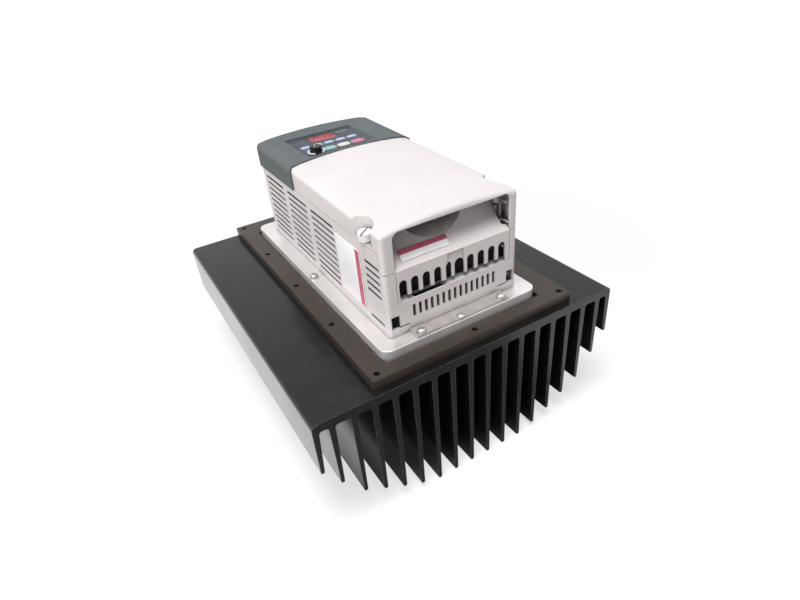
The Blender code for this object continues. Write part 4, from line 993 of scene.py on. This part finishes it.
class DRIVE_OT_stage(bpy.types.Operator):
    """Make the pale floor, the soft lamps and the camera"""

    bl_idname = "drive.stage"
    bl_label = "Stage"

    def execute(self, context):
        stage = context.scene.drive_stage
        bpy.ops.object.select_all(action="DESELECT")
        bpy.ops.mesh.primitive_plane_add(size=stage.floor_size, location=(0.0, 0.0, -FLOOR_DROP))
        floor = context.object
        floor.name = "studio_floor"
        ground = bpy.data.materials.new("Studio floor")
        ground.use_nodes = True
        tree = ground.node_tree
        skin = tree.nodes["Principled BSDF"]
        skin.inputs["Base Color"].default_value = tuple(stage.floor) + (1.0,)
        skin.inputs["Roughness"].default_value = 0.9
        skin.inputs["Specular IOR Level"].default_value = 0.0
        path = tree.nodes.new("ShaderNodeLightPath")
        place = tree.nodes.new("ShaderNodeTexCoord").outputs["Object"]
        spread = put(tree, "ShaderNodeVectorMath", {"operation": "LENGTH"}, at0=place).outputs["Value"]
        glow = ramp(tree, spread, FLOOR_NEAR, FLOOR_FAR, FLOOR_NEAR_GLOW, 1.0)
        through = maths(tree, "MAXIMUM", path.outputs["Is Camera Ray"], path.outputs["Is Transmission Ray"])
        seen = maths(tree, "MULTIPLY", through, glow)
        # Painted reflection: the floor glows white to reflections only, away from the part's middle, so the
        # fins mirror bright at the sides and dark under the part.
        across = put(tree, "ShaderNodeSeparateXYZ", None, Vector=place).outputs["X"]
        beside = ramp(tree, maths(tree, "ABSOLUTE", across), PAINTED_REFLECTION_START, PAINTED_REFLECTION_END)
        painted_reflection = maths(tree, "MULTIPLY", path.outputs["Is Glossy Ray"], beside)
        tree.links.new(maths(tree, "MAXIMUM", seen, painted_reflection), skin.inputs["Emission Strength"])
        skin.inputs["Emission Color"].default_value = (1.0, 1.0, 1.0, 1.0)
        floor.data.materials.append(ground)
        floor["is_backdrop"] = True

        world = bpy.data.worlds.new("Studio surround")
        world.use_nodes = True
        context.scene.world = world
        tree = world.node_tree
        sky = tree.nodes["Background"]
        sky.inputs["Color"].default_value = (1.0, 1.0, 1.0, 1.0)
        path = tree.nodes.new("ShaderNodeLightPath")
        seen = maths(tree, "MAXIMUM", path.outputs["Is Camera Ray"], path.outputs["Is Transmission Ray"])
        seen = maths(tree, "MAXIMUM", seen, path.outputs["Is Glossy Ray"])
        tree.links.new(ramp(tree, seen, 0.0, 1.0, stage.sky, 1.0), sky.inputs["Strength"])

        low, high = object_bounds()
        middle = (low + high) / 2
        for name, offset, height, size, power in (
            ("lamp_overhead", OVERHEAD_OFFSET, OVERHEAD_HEIGHT, OVERHEAD_SIZE, stage.key_power),
            ("lamp_left", LEFT_OFFSET, LEFT_HEIGHT, LEFT_SIZE, stage.side_power),
        ):
            lamp(name, (middle.x + offset[0], middle.y + offset[1], height), middle, size, power)

        eye = bpy.data.cameras.new("studio_camera")
        eye.sensor_width = SENSOR
        eye.lens = LENS
        eye.clip_start = NEAR_CLIP
        camera = bpy.data.objects.new("studio_camera", eye)
        context.scene.collection.objects.link(camera)
        turn = Matrix((CAMERA_RIGHT, CAMERA_UP, CAMERA_BACK)).transposed().to_4x4()
        camera.matrix_world = Matrix.Translation(CAMERA_PLACE) @ turn
        context.scene.camera = camera
        context.scene.view_settings.view_transform = "Standard"
        return {"FINISHED"}


class DRIVE_PT_panel(bpy.types.Panel):
    """The drive's settings and makers"""

    bl_idname = "DRIVE_PT_panel"
    bl_label = "Motor Drive"
    bl_space_type = "VIEW_3D"
    bl_region_type = "UI"
    bl_category = "Motor Drive"

    def draw(self, context):
        for settings in SETTINGS:
            box = self.layout.box()
            group_of = getattr(context.scene, settings)
            for key in group_of.bl_rna.properties.keys():
                if key not in {"rna_type", "name"}:
                    box.prop(group_of, key)
        for maker in OPERATORS:
            self.layout.operator(maker.bl_idname)


SETTINGS = {
    "drive_plastic": DrivePlasticSettings,
    "drive_metal": DriveMetalSettings,
    "drive_keypad": DriveKeypadSettings,
    "drive_labels": DriveLabelSettings,
    "drive_stage": DriveStageSettings,
}
OPERATORS = (
    DRIVE_OT_metal_base,
    DRIVE_OT_fixings,
    DRIVE_OT_shell,
    DRIVE_OT_keypad_head,
    DRIVE_OT_keys,
    DRIVE_OT_display,
    DRIVE_OT_knob,
    DRIVE_OT_labels,
    DRIVE_OT_inner_parts,
    DRIVE_OT_stage,
)


def register():
    """Registers the classes and hangs the settings on the scene."""
    for made in (*SETTINGS.values(), *OPERATORS, DRIVE_PT_panel):
        bpy.utils.register_class(made)
    for name, made in SETTINGS.items():
        setattr(bpy.types.Scene, name, bpy.props.PointerProperty(type=made))


def unregister():
    """Takes the settings and the classes away again."""
    for name in SETTINGS:
        delattr(bpy.types.Scene, name)
    for made in reversed((*SETTINGS.values(), *OPERATORS, DRIVE_PT_panel)):
        bpy.utils.unregister_class(made)


def main():
    """Makes the whole dressed drive."""
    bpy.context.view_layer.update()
    register()
    for maker in OPERATORS:
        family, name = maker.bl_idname.split(".")
        getattr(getattr(bpy.ops, family), name)()


if __name__ == "__main__":
    main()
